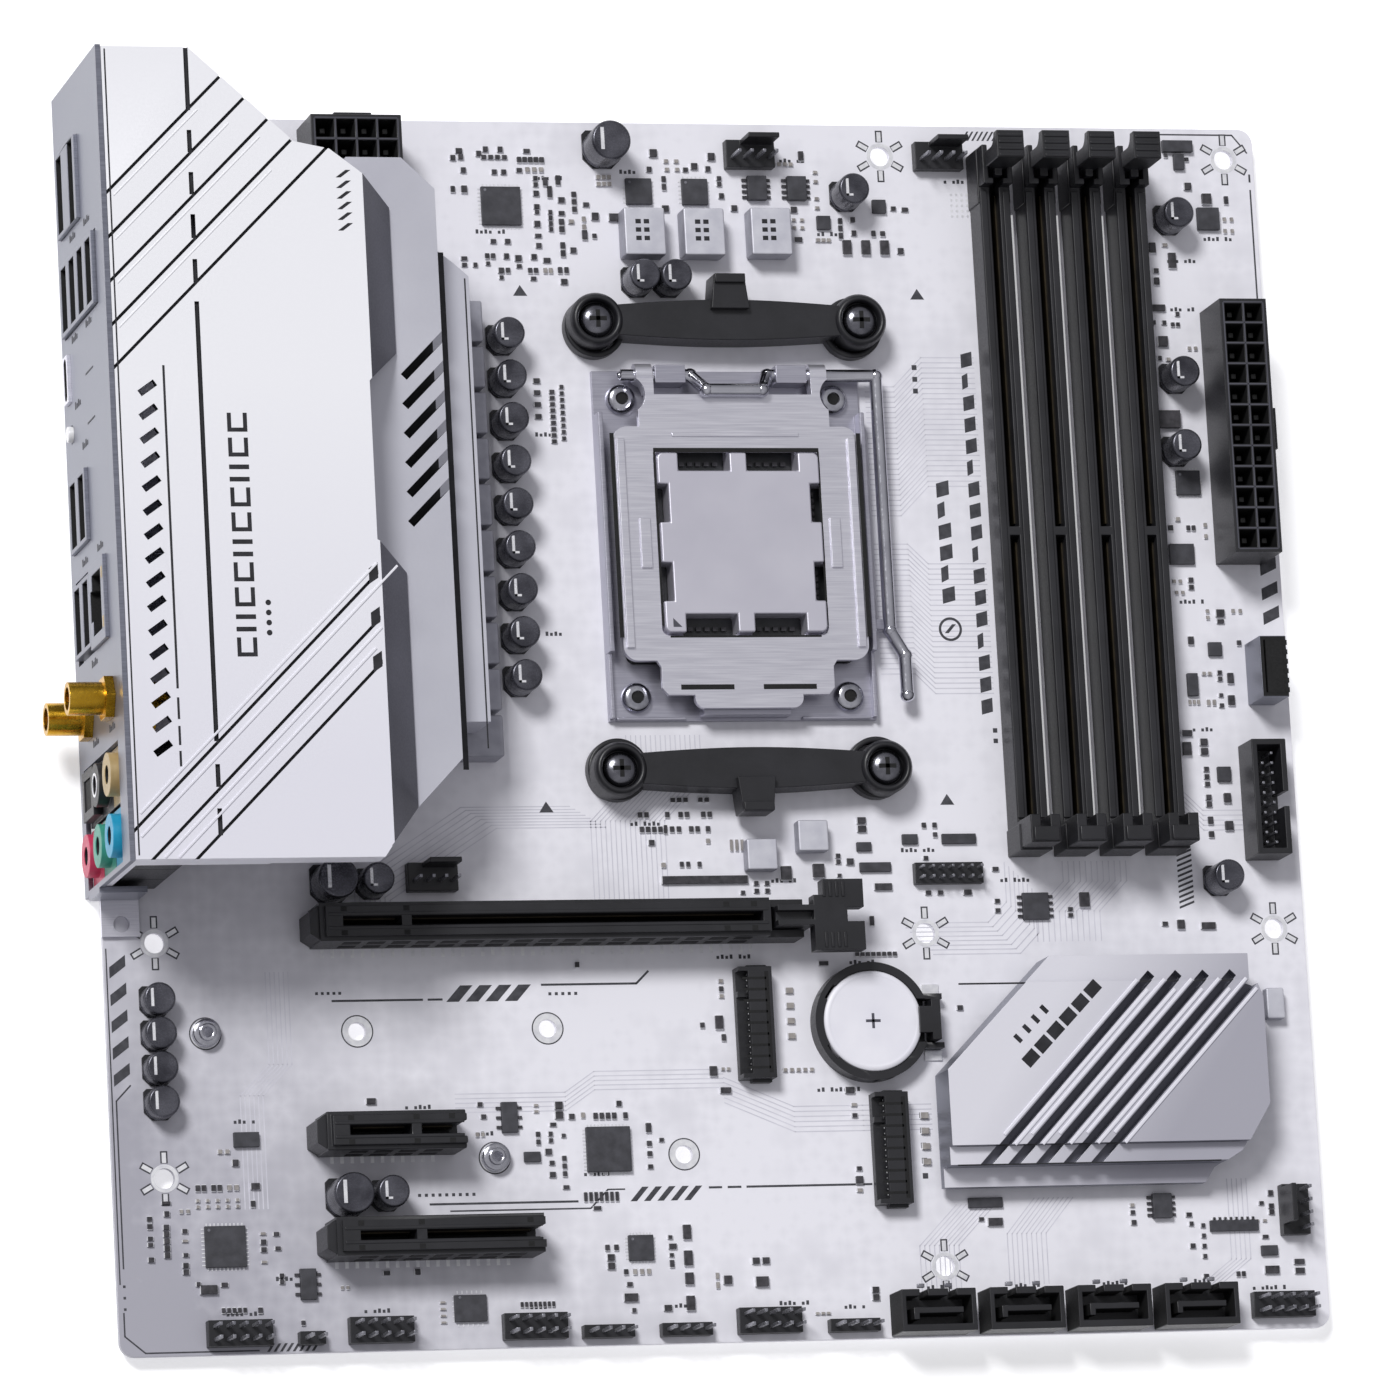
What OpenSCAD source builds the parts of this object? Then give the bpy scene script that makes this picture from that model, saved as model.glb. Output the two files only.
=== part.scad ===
// Micro-ATX computer motherboard with a processor in its socket.
// The origin is the rear corner mounting hole's axis, at the board's underside.
// +X runs away from the rear connectors, +Y towards the processor power plug,
// and +Z out of the component side.

/* [Board] */
// Side length of the square circuit board
board_side = 243.84; // [243.84:0.01:244]
// Thickness of the circuit board
board_t = 1.6; // [1.5:0.1:1.7]
// Radius of the board's corners
board_corner_r = 3; // [1:0.5:4]
// Radius of a chassis mounting hole
chassis_hole_r = 1.98; // [1.9:0.01:2]
// Radius of a hole for a storage card's standoff
standoff_hole_r = 1.75; // [1.5:0.05:1.9]

/* [Processor socket] */
// Side of the processor's square carrier
processor_side = 40; // [39.8:0.1:40.2]
// Radius of the lever's wire
lever_wire_r = 0.9; // [0.8:0.05:0.9]
// Height of the lever's axis above the underside
lever_axis_z = 5.6; // [5.6:0.1:6]
// Distance between cooler screws across the socket
cooler_pitch_x = 54; // [54:0.1:54.2]
// Distance between cooler screws along the socket
cooler_pitch_y = 90; // [90:0.1:90.2]

/* [Memory and expansion slots] */
// Distance between two memory slots
memory_pitch = 9.5; // [9.4:0.05:9.6]
// Width of a memory slot
memory_w = 6.2; // [6:0.1:6.4]
// Height of a memory slot's long walls
memory_h = 7.2; // [7:0.1:7.6]
// Height of a memory latch above the board
memory_latch_h = 20; // [18:0.5:20]
// Width of an expansion slot
slot_w = 7.5; // [7.3:0.1:7.6]
// Height of an expansion slot
slot_h = 11.2; // [11:0.1:11.4]

/* [Rear panel] */
// Length of the rear panel along the board's edge
panel_len = 158.6; // [158.4:0.05:158.7]
// Height of the rear panel
panel_h = 44.4; // [44.2:0.05:44.4]
// Thickness of the rear panel's sheet
panel_t = 1; // [0.8:0.1:1.2]
// Height of the rear cover's top face
cover_z = 42; // [41.5:0.1:42]

/* [Heatsinks] */
// Height of the power stage heatsink's upper step
vrm_upper_z = 30; // [29:0.5:30]
// Height of the power stage heatsink's lower step
vrm_lower_z = 22; // [21:0.5:23]
// Height of the chipset heatsink's face
chipset_z = 13; // [12.5:0.5:14]

/* [Parts in rows] */
// Radius of a can capacitor
can_r = 3.15; // [3:0.05:3.15]
// Height of a can capacitor
can_h = 8; // [7:0.5:9]
// Length of one power inductor along the row
choke_len = 8.2; // [7.8:0.1:8.4]
// Height of the pins in a pin header
pin_h = 6; // [5.5:0.5:6.5]
// Side of a header pin
pin_w = 0.64; // [0.6:0.02:0.66]

/* [Hidden] */

arc_fn = 48;
fine_fn = 24;
gap = 0.1;
cut = 1;
top = board_t;
board_left = -10.16;
board_bottom = -80.01;

// Positions of the chassis holes, the cooler screws and the standoffs
chassis_holes = [[0, 0], [0, 157.48], [0, -45.72], [154.94, 0], [154.94, 157.48],
    [154.94, -66.04], [227.33, 0], [227.33, 157.48]];
socket_at = [119.9, 77.2];
cooler_points = [for (x = [-1, 1], y = [-1, 1])
    [socket_at.x + x*cooler_pitch_x/2, socket_at.y + y*cooler_pitch_y/2]];
socket_screw_points = [for (x = [-1, 1], y = [-1, 1]) [socket_at.x + x*21.7, socket_at.y + y*30]];
upper_drive_y = -17.8;
lower_drive_y = -43;
standoff_points = [[9.2, upper_drive_y], [65.3, lower_drive_y]];
spare_standoff_points = [[39.2, upper_drive_y], [77.2, upper_drive_y], [103.3, lower_drive_y]];
heatsink_screw_points = [[172.5, -18], [212, -34], [57, 62], [57, 112]];

// Heights through the processor socket
backplate_t = 2.3;
frame_t = 1;
field_z = 2.8;
carrier_t = 1.2;
lid_step_z = 6.5;
lid_z = 9.2;
plate_bottom = 6.55;
plate_top = 8.05;
lever_axis_y = 111.5;
lever_arm_x = 150.1;

// Memory slots
memory_x = [for (i = [0:3]) 176.2 + i*memory_pitch];
memory_y0 = 15.3;
memory_y1 = 157.6;
memory_tower = 8;
memory_hinge_y = 154;
memory_hinge_z = 5;

// Expansion slots: centre line, start and end
graphics_y = 2.1;
graphics_x = [30.5, 120.5];
short_y = -38.5;
short_x = [30, 57.5];
medium_y = -58.9;
medium_x = [31, 72];
slot_key_x = 47.5;
latch_hinge_x = 124.5;
latch_hinge_z = 6;

battery_at = [142, -17.9];
battery_catch_x = 154.6;
battery_catch_z = 2.7;

panel_x = -12.4;
panel_y = 9.3;
panel_z = -2.3;
port_front = -13.2;
button_at = [99.6, 4.2];
jack_spots = [[16.2, 7], [16.2, 18.5], [16.2, 30], [28, 18.5], [28, 30]];
antenna_spots = [[42.5, 9.5], [42.5, 31]];

// Plug grids: first cell's centre, columns and rows
cell_pitch = 4.2;
main_power_at = [222.9, 76.7];
cpu_power_at = [38.4, 154.7];

// Pin headers: corner of the block, pins along X and pins along Y
header_pitch = 2.54;
header_blocks = [
    [[6.7, -78.6], 5, 2], [[34.5, -78.6], 5, 2], [[65, -78.6], 5, 2], [[112, -78.6], 5, 2],
    [[24.6, -78.6], 2, 1], [[80.8, -78.7], 4, 1], [[96.4, -78.7], 4, 1], [[130.3, -78.7], 4, 1],
    [[217.3, -77.9], 5, 2]];
debug_header_at = [153, 9.6];
fan_blocks = [[122.4, 154.4], [50.2, 9.2], [161.6, 154.4]];
side_fan_at = [224.4, -61.6];
usb_header_at = [222.2, 13.7];
usb_c_header_at = [225, 45.2];
sata_xs = [for (i = [0:3]) 143.2 + i*17.95];
sata_w = 15.2;

// Rows of capacitors: centre, radius and height
vrm_cans = [for (i = [0:8]) [74.8, 119.3 - 8.56*i, can_r, can_h]];
audio_cans = [for (i = [0:3]) [-0.5, -11.5 - 6.65*i, can_r, 5.5]];
other_cans = [[97.3, 158.2, 4, 9], [103, 131.2, can_r, can_h], [109.5, 131.2, can_r, can_h],
    [35, 11, 4, 9], [43.2, 11, can_r, can_h], [35.2, -50.3, 4, 9], [43.2, -50, can_r, can_h],
    [147, 149, can_r, can_h], [214.6, 144.7, can_r, can_h], [213.7, 112, can_r, can_h],
    [213.1, 97, can_r, can_h], [216.2, 9.7, can_r, can_h]];
all_cans = concat(vrm_cans, audio_cans, other_cans);

// Flat chips: centre, size along X, size along Y, height
chip_list = [
    [76.2, 146.5, 8, 7.8, 0.9], [104.5, 149.7, 5.3, 5.3, 0.9], [116, 149.7, 5.3, 5.3, 0.9],
    [128.8, 150.5, 3.9, 4.9, 1.5], [137, 150.5, 3.9, 4.9, 1.5], [154, 147, 2.8, 2.8, 0.9],
    [142.3, 143.6, 2.8, 2.8, 0.9], [223, 145, 4.6, 4.6, 1.2], [215.2, 90.6, 5, 5, 0.9],
    [212.9, 76, 5.2, 4.2, 0.9], [218.6, 56.6, 2.8, 2.8, 0.9], [213.4, 49.4, 2.2, 4.6, 1],
    [218.8, 31.2, 2.8, 3, 0.9], [177.8, 5, 5.4, 5.4, 0.9], [11.2, -59.2, 8, 8, 0.9],
    [88, -41.8, 8.8, 8.8, 1.2], [93.5, -61.2, 5, 5, 0.9], [58.9, -72.2, 6.4, 5.2, 0.9],
    [27.1, -66.8, 3.2, 6, 1], [68.5, -35.2, 3.2, 6, 1], [16.2, -38.6, 5, 2.9, 1],
    [72.7, -43, 3.3, 2, 0.8], [200, -55.2, 3.9, 4.9, 1.5], [214.8, -59.4, 10, 2.2, 0.9],
    [217.4, 160, 6.4, 2.4, 1.2], [217.6, 156.8, 2.2, 3.2, 1], [145.3, 13.2, 6.4, 1.9, 0.8],
    [162.8, 18.7, 7, 2, 0.8], [152.7, 18.7, 3.2, 2, 0.8], [143.2, 17.3, 3, 1.8, 0.8], [163.8, -53.8, 7, 2, 0.8], [221.8, -64.5, 3.4, 2, 0.9]];
power_stages = [for (i = [0:8]) [51, 121.2 - 9.2*i - 4.6, 6, 5, 1]];

// Inductors: centre, size along X, size along Y, height
vrm_chokes = [for (i = [0:9]) [65.1, 121.7 - 9.2*i, 9.2, choke_len, 7]];
other_chokes = [[104.2, 140.6, 8.4, 9.6, 5], [116.4, 140.6, 8.4, 9.6, 5], [130.2, 140.8, 8.4, 9.6, 5],
    [121.6, 15.6, 6.2, 6.2, 3.4], [132.2, 19.2, 6.2, 6.2, 3.4], [225.8, -15.4, 3.8, 6.2, 2.6]];

// ---- shared shapes ----

// A box given by its lowest and highest corners
module block(a, b) {
    translate(a) cube(b - a);
}

// A flat rounded rectangle centred on the origin
module rounded_rect(w, h, r) {
    square([w - 2*r, h], center = true);
    square([w, h - 2*r], center = true);
    for (x = [-1, 1], y = [-1, 1]) {
        translate([x*(w/2 - r), y*(h/2 - r)]) circle(r, $fn = arc_fn);
    }
}

// A rounded plate centred on a point, from z0 to z1
module plate_at(p, w, h, r, z0, z1) {
    translate([p.x, p.y, z0]) linear_extrude(z1 - z0) rounded_rect(w, h, r);
}

// A cylinder along Z from z0 to z1
module post(p, r, z0, z1, fn = arc_fn) {
    translate([p.x, p.y, z0]) cylinder(r = r, h = z1 - z0, $fn = fn);
}

// A cylinder along X between two x values
module rod_x(x0, x1, y, z, r) {
    translate([x0, y, z]) rotate([0, 90, 0]) cylinder(r = r, h = x1 - x0, $fn = arc_fn);
}

// A cylinder along Y between two y values
module rod_y(y0, y1, x, z, r) {
    translate([x, y0, z]) rotate([-90, 0, 0]) cylinder(r = r, h = y1 - y0, $fn = arc_fn);
}

// A profile in the XZ plane carried along Y from y0 to y1
module along_y(y0, y1) {
    translate([0, y1, 0]) rotate([90, 0, 0]) linear_extrude(y1 - y0) children();
}

// A cross or star shaped tool recess, cut downwards from height z
module cross_recess(p, z) {
    block([p.x - 2, p.y - 0.4, z - 1.2], [p.x + 2, p.y + 0.4, z + cut]);
    block([p.x - 0.4, p.y - 2, z - 1.2], [p.x + 0.4, p.y + 2, z + cut]);
}
module star_recess(p, z) {
    post(p, 1, z - 1, z + cut, fine_fn);
    for (a = [0:60:300]) post(p + 1.05*[cos(a), sin(a)], 0.35, z - 1, z + cut, fine_fn);
}

// A chip body standing on the board, from an entry [x, y, w, l, h]
module chip_body(c) {
    block([c[0] - c[2]/2, c[1] - c[3]/2, top], [c[0] + c[2]/2, c[1] + c[3]/2, top + c[4]]);
}

// ---- circuit board ----

module circuit_board() color("gainsboro") difference() {
    plate_at([board_left + board_side/2, board_bottom + board_side/2],
        board_side, board_side, board_corner_r, 0, board_t);
    for (p = chassis_holes) post(p, chassis_hole_r, -cut, board_t + cut);
    for (p = concat(standoff_points, spare_standoff_points)) {
        post(p, standoff_hole_r, -cut, board_t + cut);
    }
    for (p = cooler_points) post(p, 2.1, -cut, board_t + cut);
    for (p = socket_screw_points) post(p, 1.8, -cut, board_t + cut);
    for (p = heatsink_screw_points) post(p, 1.5, -cut, board_t + cut);
}

// Tips of the soldered legs under the board
module solder_joints() color("silver") {
    tip = 1.3;
    for (c = [0:1], r = [0:11]) post(main_power_at + cell_pitch*[c, r], 0.8, -tip, 0, fine_fn);
    for (c = [0:3], r = [0:1]) post(cpu_power_at + cell_pitch*[c, r], 0.8, -tip, 0, fine_fn);
    for (b = header_blocks, i = [0:b[1] - 1], j = [0:b[2] - 1]) {
        post(b[0] + header_pitch*[i + 0.5, j + 0.5], 0.6, -tip, 0, fine_fn);
    }
    for (p = fan_blocks, i = [0:3]) post(p + [1.2 + header_pitch*i, 2], 0.6, -tip, 0, fine_fn);
    for (x = [-4, 2], y = [14:6:32]) post([x, y], 0.7, -tip, 0, fine_fn);
    for (x = [-6, 4], y = [57, 62, 67, 79, 87, 121, 126, 131, 142, 148]) {
        post([x, y], 0.7, -tip, 0, fine_fn);
    }
    for (x = sata_xs, i = [0:3]) post([x + 2.8 + 3.2*i, -75.4], 0.5, -tip, 0, fine_fn);
    for (c = all_cans, s = [-1, 1]) post([c[0] + 1.25*s, c[1]], 0.5, -tip, 0, fine_fn);
}

// ---- processor socket ----

// Stiffener under the board, with threaded posts for the cooler and the socket
module cpu_backplate() color("dimgray") difference() {
    union() {
        plate_at(socket_at, 52, 72, 6, -backplate_t, 0);
        for (y = [-1, 1]) {
            plate_at(socket_at + [0, y*cooler_pitch_y/2], 66, 12, 5.9, -backplate_t, 0);
            plate_at(socket_at + [0, y*40], 34, 14, 2, -backplate_t, 0);
        }
    }
    plate_at(socket_at, 24, 24, 3, -backplate_t - cut, cut);
    for (p = cooler_points) post(p, 1.7, -backplate_t - cut, cut);
    for (p = socket_screw_points) post(p, 1.4, -backplate_t - cut, cut);
}

// Plastic body that carries the spring contacts
module socket_body() color("darkslategray") difference() {
    plate_at(socket_at, 46, 46, 1.5, top, top + 2.8);
    plate_at(socket_at, processor_side + 0.2, processor_side + 0.2, 0.5, field_z, top + 2.8 + cut);
}

module processor_substrate() color("seagreen") {
    plate_at(socket_at, processor_side, processor_side, 0.4, field_z, field_z + carrier_t);
}

// Metal lid with four notches on each pair of sides
module heat_spreader() color("silver") difference() {
    union() {
        plate_at(socket_at, 36.6, 38.6, 1.2, field_z + carrier_t, lid_step_z);
        plate_at(socket_at, 33, 36, 1.2, field_z + carrier_t, lid_z);
    }
    for (s = [-1, 1], t = [-1, 1]) {
        translate([socket_at.x + 7 * t, socket_at.y + 18 * s, lid_z]) {
            cube([10.5, 7.2, 20], center = true);
        }
        translate([socket_at.x + 18.5 * s, socket_at.y + 7.9 * t, lid_z]) {
            cube([8, 7.7, 20], center = true);
        }
    }
}

// Stamped steel base with side flanges and two loops round the lever
loop_spans = [[104.4, 110.6], [129.2, 135.4]];
module socket_frame() color("lightgray") difference() {
    union() {
        block([92.6, 42.6, top], [147.2, 113, top + frame_t]);
        for (x = [92.6, 146.2]) block([x, 56, top], [x + frame_t, 104, top + 4.4]);
        for (s = loop_spans) block([s[0], 109.7, top], [s[1], 113.3, 7.4]);
        block([146.2, 60.6, 3.2], [151.6, 62.6, 4.2]);
        block([111, 43.2, top], [128.8, 45.4, 6.2]);
    }
    plate_at(socket_at, 46.4, 46.4, 1.6, 0, 9);
    rod_x(90, 150, lever_axis_y, lever_axis_z, lever_wire_r + gap);
    for (p = socket_screw_points) post(p, 1.8, 0, 9);
}

// Hinged steel plate that presses on the lid's shoulders
knuckle_spans = [[100.4, 103.8], [136, 139.4]];
module load_plate() color("silver") difference() {
    union() {
        plate_at(socket_at, 50, 47, 3, plate_bottom, plate_top);
        plate_at(socket_at + [0, 24], 34, 12, 1, plate_bottom, plate_top);
        plate_at(socket_at - [0, 27], 22, 12, 2, plate_bottom, plate_top);
        for (s = knuckle_spans) {
            block([s[0], 98, plate_bottom], [s[1], 108.5, plate_top]);
            block([s[0], 107.5, 5], [s[1], 110.5, plate_top]);
            rod_x(s[0], s[1], lever_axis_y, lever_axis_z, 2.3);
        }
        for (x = [95, 143.8]) block([x, 62, 5.2], [x + 1, 92, plate_top]);
    }
    plate_at(socket_at, 34, 37, 1.5, 0, 12);
    rod_x(90, 150, lever_axis_y, lever_axis_z, lever_wire_r + gap);
    for (p = socket_screw_points) post(p, 3.8, 0, 12);
}

// Bent wire: a cranked axle in the loops and an arm with a finger end
lever_bend_r = lever_wire_r + 0.15;
crank_z = 9.2;
crank_y = 107.8;
lever_path = [[97.6, lever_axis_y, lever_axis_z], [112, lever_axis_y, lever_axis_z],
    [114.2, crank_y, crank_z], [125.6, crank_y, crank_z], [127.8, lever_axis_y, lever_axis_z],
    [lever_arm_x, lever_axis_y, lever_axis_z], [lever_arm_x, 60, lever_axis_z],
    [152.9, 55, lever_axis_z], [152.9, 47, lever_axis_z]];

// One straight piece of wire with a ball at each end
module wire_between(a, b) {
    d = b - a;
    len = norm(d);
    translate(a) rotate([0, acos(d.z/len), atan2(d.y, d.x)]) {
        cylinder(r = lever_wire_r, h = len, $fn = fine_fn);
    }
    translate(a) sphere(lever_bend_r, $fn = fine_fn);
    translate(b) sphere(lever_bend_r, $fn = fine_fn);
}
module load_lever() color("silver") {
    for (i = [0:len(lever_path) - 2]) wire_between(lever_path[i], lever_path[i + 1]);
}

// Star-drive screws through the frame into the stiffener
module socket_screws() color("silver") for (p = socket_screw_points) difference() {
    union() {
        post(p, 3, top + frame_t, 4.4);
        post(p, 1.4, 0.6 - backplate_t, top + frame_t);
    }
    star_recess(p, 4.4);
}

// ---- cooler brackets ----

// Plastic bar with raised screw rings and a hook for a cooler's clip; out is +1 or -1
bracket_ring_z = 9.4;
bracket_seat_z = 7.2;
module cooler_bracket(out) {
    mid = socket_at.y + out*cooler_pitch_y/2;
    difference() {
        union() {
            for (x = [-1, 1]) post([socket_at.x + x*cooler_pitch_x/2, mid], 5, top, bracket_ring_z);
            block([socket_at.x - 27, mid - 4.4, top], [socket_at.x + 27, mid + 4.4, 8.6]);
            block([socket_at.x - 12, mid + out*4.4 - 1.2, top],
                [socket_at.x + 12, mid + out*4.4 + 1.2, 8.6]);
            block([socket_at.x - 3.2, mid + out*5 - 3, top], [socket_at.x + 3.2, mid + out*5 + 3, 11]);
            block([socket_at.x - 3.2, mid + out*8 - 1, 8], [socket_at.x + 3.2, mid + out*8 + 1, 11]);
        }
        for (x = [-1, 1]) {
            post([socket_at.x + x*cooler_pitch_x/2, mid], 2, 0, 12);
            post([socket_at.x + x*cooler_pitch_x/2, mid], 3.9, bracket_seat_z, 12);
            block([socket_at.x + x*12 - 8, mid - 2.8, 0], [socket_at.x + x*12 + 8, mid + 2.8, 6.6]);
        }
    }
}
module cooler_bracket_top() color("dimgray") cooler_bracket(1);
module cooler_bracket_bottom() color("dimgray") cooler_bracket(-1);

module cooler_bracket_screws() color("silver") for (p = cooler_points) difference() {
    union() {
        post(p, 3.4, bracket_seat_z, bracket_seat_z + 1.4);
        post(p, 2.7, bracket_seat_z + 1.4, bracket_seat_z + 2);
        post(p, 1.7, 0.4 - backplate_t, bracket_seat_z);
    }
    cross_recess(p, bracket_seat_z + 2);
}

// ---- memory slots ----

// Long slot with a split card groove, a plain tower and a tower that holds the latch
module memory_slot(x) {
    y_latch = memory_y1 - memory_tower;
    difference() {
        union() {
            block([x - memory_w/2, memory_y0, top], [x + memory_w/2, memory_y1, top + memory_h]);
            block([x - memory_w/2, memory_y0, top], [x + memory_w/2, memory_y0 + 5.6, 17.4]);
            block([x - memory_w/2, y_latch, top], [x + memory_w/2, memory_y1, 12]);
        }
        block([x - 0.95, memory_y0 + 2.6, 3.6], [x + 0.95, 78.6, 20]);
        block([x - 0.95, 80.4, 3.6], [x + 0.95, y_latch + 2, 20]);
        block([x - 1.9, y_latch + 1.2, 2.4], [x + 1.9, memory_y1 + cut, 20]);
        rod_x(x - 2.6, x + 2.6, memory_hinge_y, memory_hinge_z, 0.9 + gap/2);
    }
}

// Tilting latch: hub on two stub pins, a web between the cheeks and a wide thumb head
module memory_latch(x) {
    head = top + memory_latch_h;
    rod_x(x - 2.5, x + 2.5, memory_hinge_y, memory_hinge_z, 0.9);
    rod_x(x - 1.7, x + 1.7, memory_hinge_y, memory_hinge_z, 1.7);
    block([x - 1.7, memory_hinge_y - 1.4, memory_hinge_z], [x + 1.7, memory_hinge_y + 1.7, 13.4]);
    block([x - 2.85, memory_hinge_y - 1.4, 13.3], [x + 2.85, memory_hinge_y + 1.8, head]);
    difference() {
        block([x - 2.85, memory_hinge_y + 1.5, head - 4.6], [x + 2.85, memory_hinge_y + 4.2, head]);
        rod_x(x - 4, x + 4, memory_hinge_y + 4.2, head - 4.6, 2.4);
    }
    block([x - 0.8, memory_hinge_y - 2.9, 10.4], [x + 0.8, memory_hinge_y - 1.3, 12.6]);
}
module memory_slot_1() color("dimgray") memory_slot(memory_x[0]);
module memory_slot_2() color("dimgray") memory_slot(memory_x[1]);
module memory_slot_3() color("dimgray") memory_slot(memory_x[2]);
module memory_slot_4() color("dimgray") memory_slot(memory_x[3]);
module memory_latch_1() color("gray") memory_latch(memory_x[0]);
module memory_latch_2() color("gray") memory_latch(memory_x[1]);
module memory_latch_3() color("gray") memory_latch(memory_x[2]);
module memory_latch_4() color("gray") memory_latch(memory_x[3]);

// ---- expansion slots ----

// Slot body with a card groove in two parts; an open end lets a longer card overhang
module expansion_slot(y, span, open_end) {
    difference() {
        union() {
            block([span[0], y - slot_w/2, top], [span[1], y + slot_w/2, top + slot_h - 1]);
            block([span[0] + 1, y - slot_w/2 + 0.8, top], [span[1], y + slot_w/2 - 0.8, top + slot_h]);
        }
        block([span[0] + 4.4, y - 0.95, 4.4], [slot_key_x - 1, y + 0.95, 20]);
        block([slot_key_x + 1, y - 0.95, 4.4], [span[1] - (open_end ? -cut : 1.6), y + 0.95, 20]);
        if (open_end) block([span[1] - 1.2, y - 1.5, 4.4], [span[1] + cut, y + 1.5, 20]);
    }
}

module graphics_slot() color("dimgray") {
    expansion_slot(graphics_y, graphics_x, false);
    difference() {
        union() for (s = [-1, 1]) {
            block([graphics_x[1] - 0.5, graphics_y + s*2.98 - 0.77, top],
                [128, graphics_y + s*2.98 + 0.77, 9]);
        }
        rod_y(graphics_y - 3.5, graphics_y + 3.5, latch_hinge_x, latch_hinge_z, 0.9 + gap/2);
    }
}

// Rocking latch: neck between the cheeks and two wide finger pads
module graphics_slot_latch() color("dimgray") {
    pad_z = 9.8;
    rod_y(graphics_y - 3.3, graphics_y + 3.3, latch_hinge_x, latch_hinge_z, 0.9);
    block([121.7, graphics_y - 2, 4], [129.2, graphics_y + 2, 10.4]);
    difference() {
        block([121.7, graphics_y - 2, 10.3], [131.2, graphics_y + 2, pad_z + 3.6]);
        block([120, graphics_y - 0.9, 11.4], [130, graphics_y + 0.9, 16]);
    }
    difference() {
        block([129, graphics_y - 7, pad_z], [139.2, graphics_y + 7, pad_z + 3.6]);
        block([135.8, graphics_y - 1.4, pad_z - cut], [140, graphics_y + 1.4, pad_z + 5]);
        block([128, graphics_y + 3.9, pad_z - cut], [131, graphics_y + 8, pad_z + 5]);
    }
}
module short_slot() color("dimgray") expansion_slot(short_y, short_x, true);
module medium_slot() color("dimgray") expansion_slot(medium_y, medium_x, true);

// Spring contacts that line the card grooves, in one strip per side
module slot_contacts() color("gold") {
    for (x = memory_x, s = [-1, 1], span = [[19.5, 77.6], [81.4, 148.4]]) {
        block([x + s*0.8 - 0.15, span[0], 3.6], [x + s*0.8 + 0.15, span[1], 6.4]);
    }
    for (r = [[graphics_y, graphics_x[1] - 2.6], [short_y, short_x[1] - 2.2],
            [medium_y, medium_x[1] - 2.2]], s = [-1, 1]) {
        block([35.6, r[0] + s*0.8 - 0.15, 4.4], [slot_key_x - 1.6, r[0] + s*0.8 + 0.15, 9.4]);
        block([slot_key_x + 1.6, r[0] + s*0.8 - 0.15, 4.4], [r[1], r[0] + s*0.8 + 0.15, 9.4]);
    }
}

// ---- storage card sockets ----

// Low socket whose mouth faces the standoffs, towards -X
module drive_socket(x, y) {
    difference() {
        union() {
            block([x - 3.4, y - 11, top], [x + 3.4, y + 11, top + 4.4]);
            for (s = [-1, 1]) block([x - 1, y + s*11.3 - 0.3, top], [x + 3, y + s*11.3 + 0.3, top + 2]);
        }
        block([x - 4.4, y - 10.1, 3.6], [x + 1.8, y + 5.1, 4.8]);
        block([x - 4.4, y + 6.3, 3.6], [x + 1.8, y + 10.1, 4.8]);
        block([x - 4.4, y - 10.1, 4.6], [x - 1.4, y + 10.1, 7]);
    }
}
module drive_socket_upper() color("dimgray") drive_socket(118.4, upper_drive_y);
module drive_socket_lower() color("dimgray") drive_socket(144.7, lower_drive_y);

// Brass standoffs with a shoulder for the card's end notch
module drive_standoffs() color("silver") for (p = standoff_points) difference() {
    union() {
        post(p, standoff_hole_r - 0.05, 0.2, top);
        post(p, 2.75, top, 3.6);
        post(p, 1.7, 3.6, 4.4);
    }
    post(p, 1, 0.8, 6);
}

// ---- battery ----

module battery_holder() color("dimgray") difference() {
    union() {
        post(battery_at, 11.7, top, 5.6);
        block([battery_at.x + 6, battery_at.y - 5.4, top], [156.6, battery_at.y + 5.4, 4.6]);
    }
    post(battery_at, 10.1, 2.6, 7);
    block([151, battery_at.y - 4.3, 2.6], [158, battery_at.y + 4.3, 7]);
    block([153.2, battery_at.y - 4.3, 1], [158, battery_at.y + 4.3, 7]);
    rod_y(battery_at.y - 5, battery_at.y + 5, battery_catch_x, battery_catch_z, 0.5 + gap/2);
    for (a = [145, 215]) translate([battery_at.x, battery_at.y, 0]) rotate(a) {
        block([9.4, -1.6, 2.6], [10.6, 1.6, 7]);
    }
}

module coin_cell() color("silver") {
    post(battery_at, 10, 3.2, 5.8);
    post(battery_at, 9, 2.6, 3.2);
}

// Sprung catch whose lip holds the cell down
module battery_catch() color("dimgray") {
    rod_y(battery_at.y - 4.9, battery_at.y + 4.9, battery_catch_x, battery_catch_z, 0.5);
    block([153.7, battery_at.y - 4, 2.1], [155.5, battery_at.y + 4, 6.9]);
    block([151.2, battery_at.y - 2.6, 6], [153.8, battery_at.y + 2.6, 6.9]);
}

// ---- chipset ----

module chipset_chip() color("darkslategray") {
    block([180.5, -37.5, top], [199.5, -18.5, top + 0.7]);
    block([185, -33, top + 0.7], [195, -23, 3.2]);
}

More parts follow.
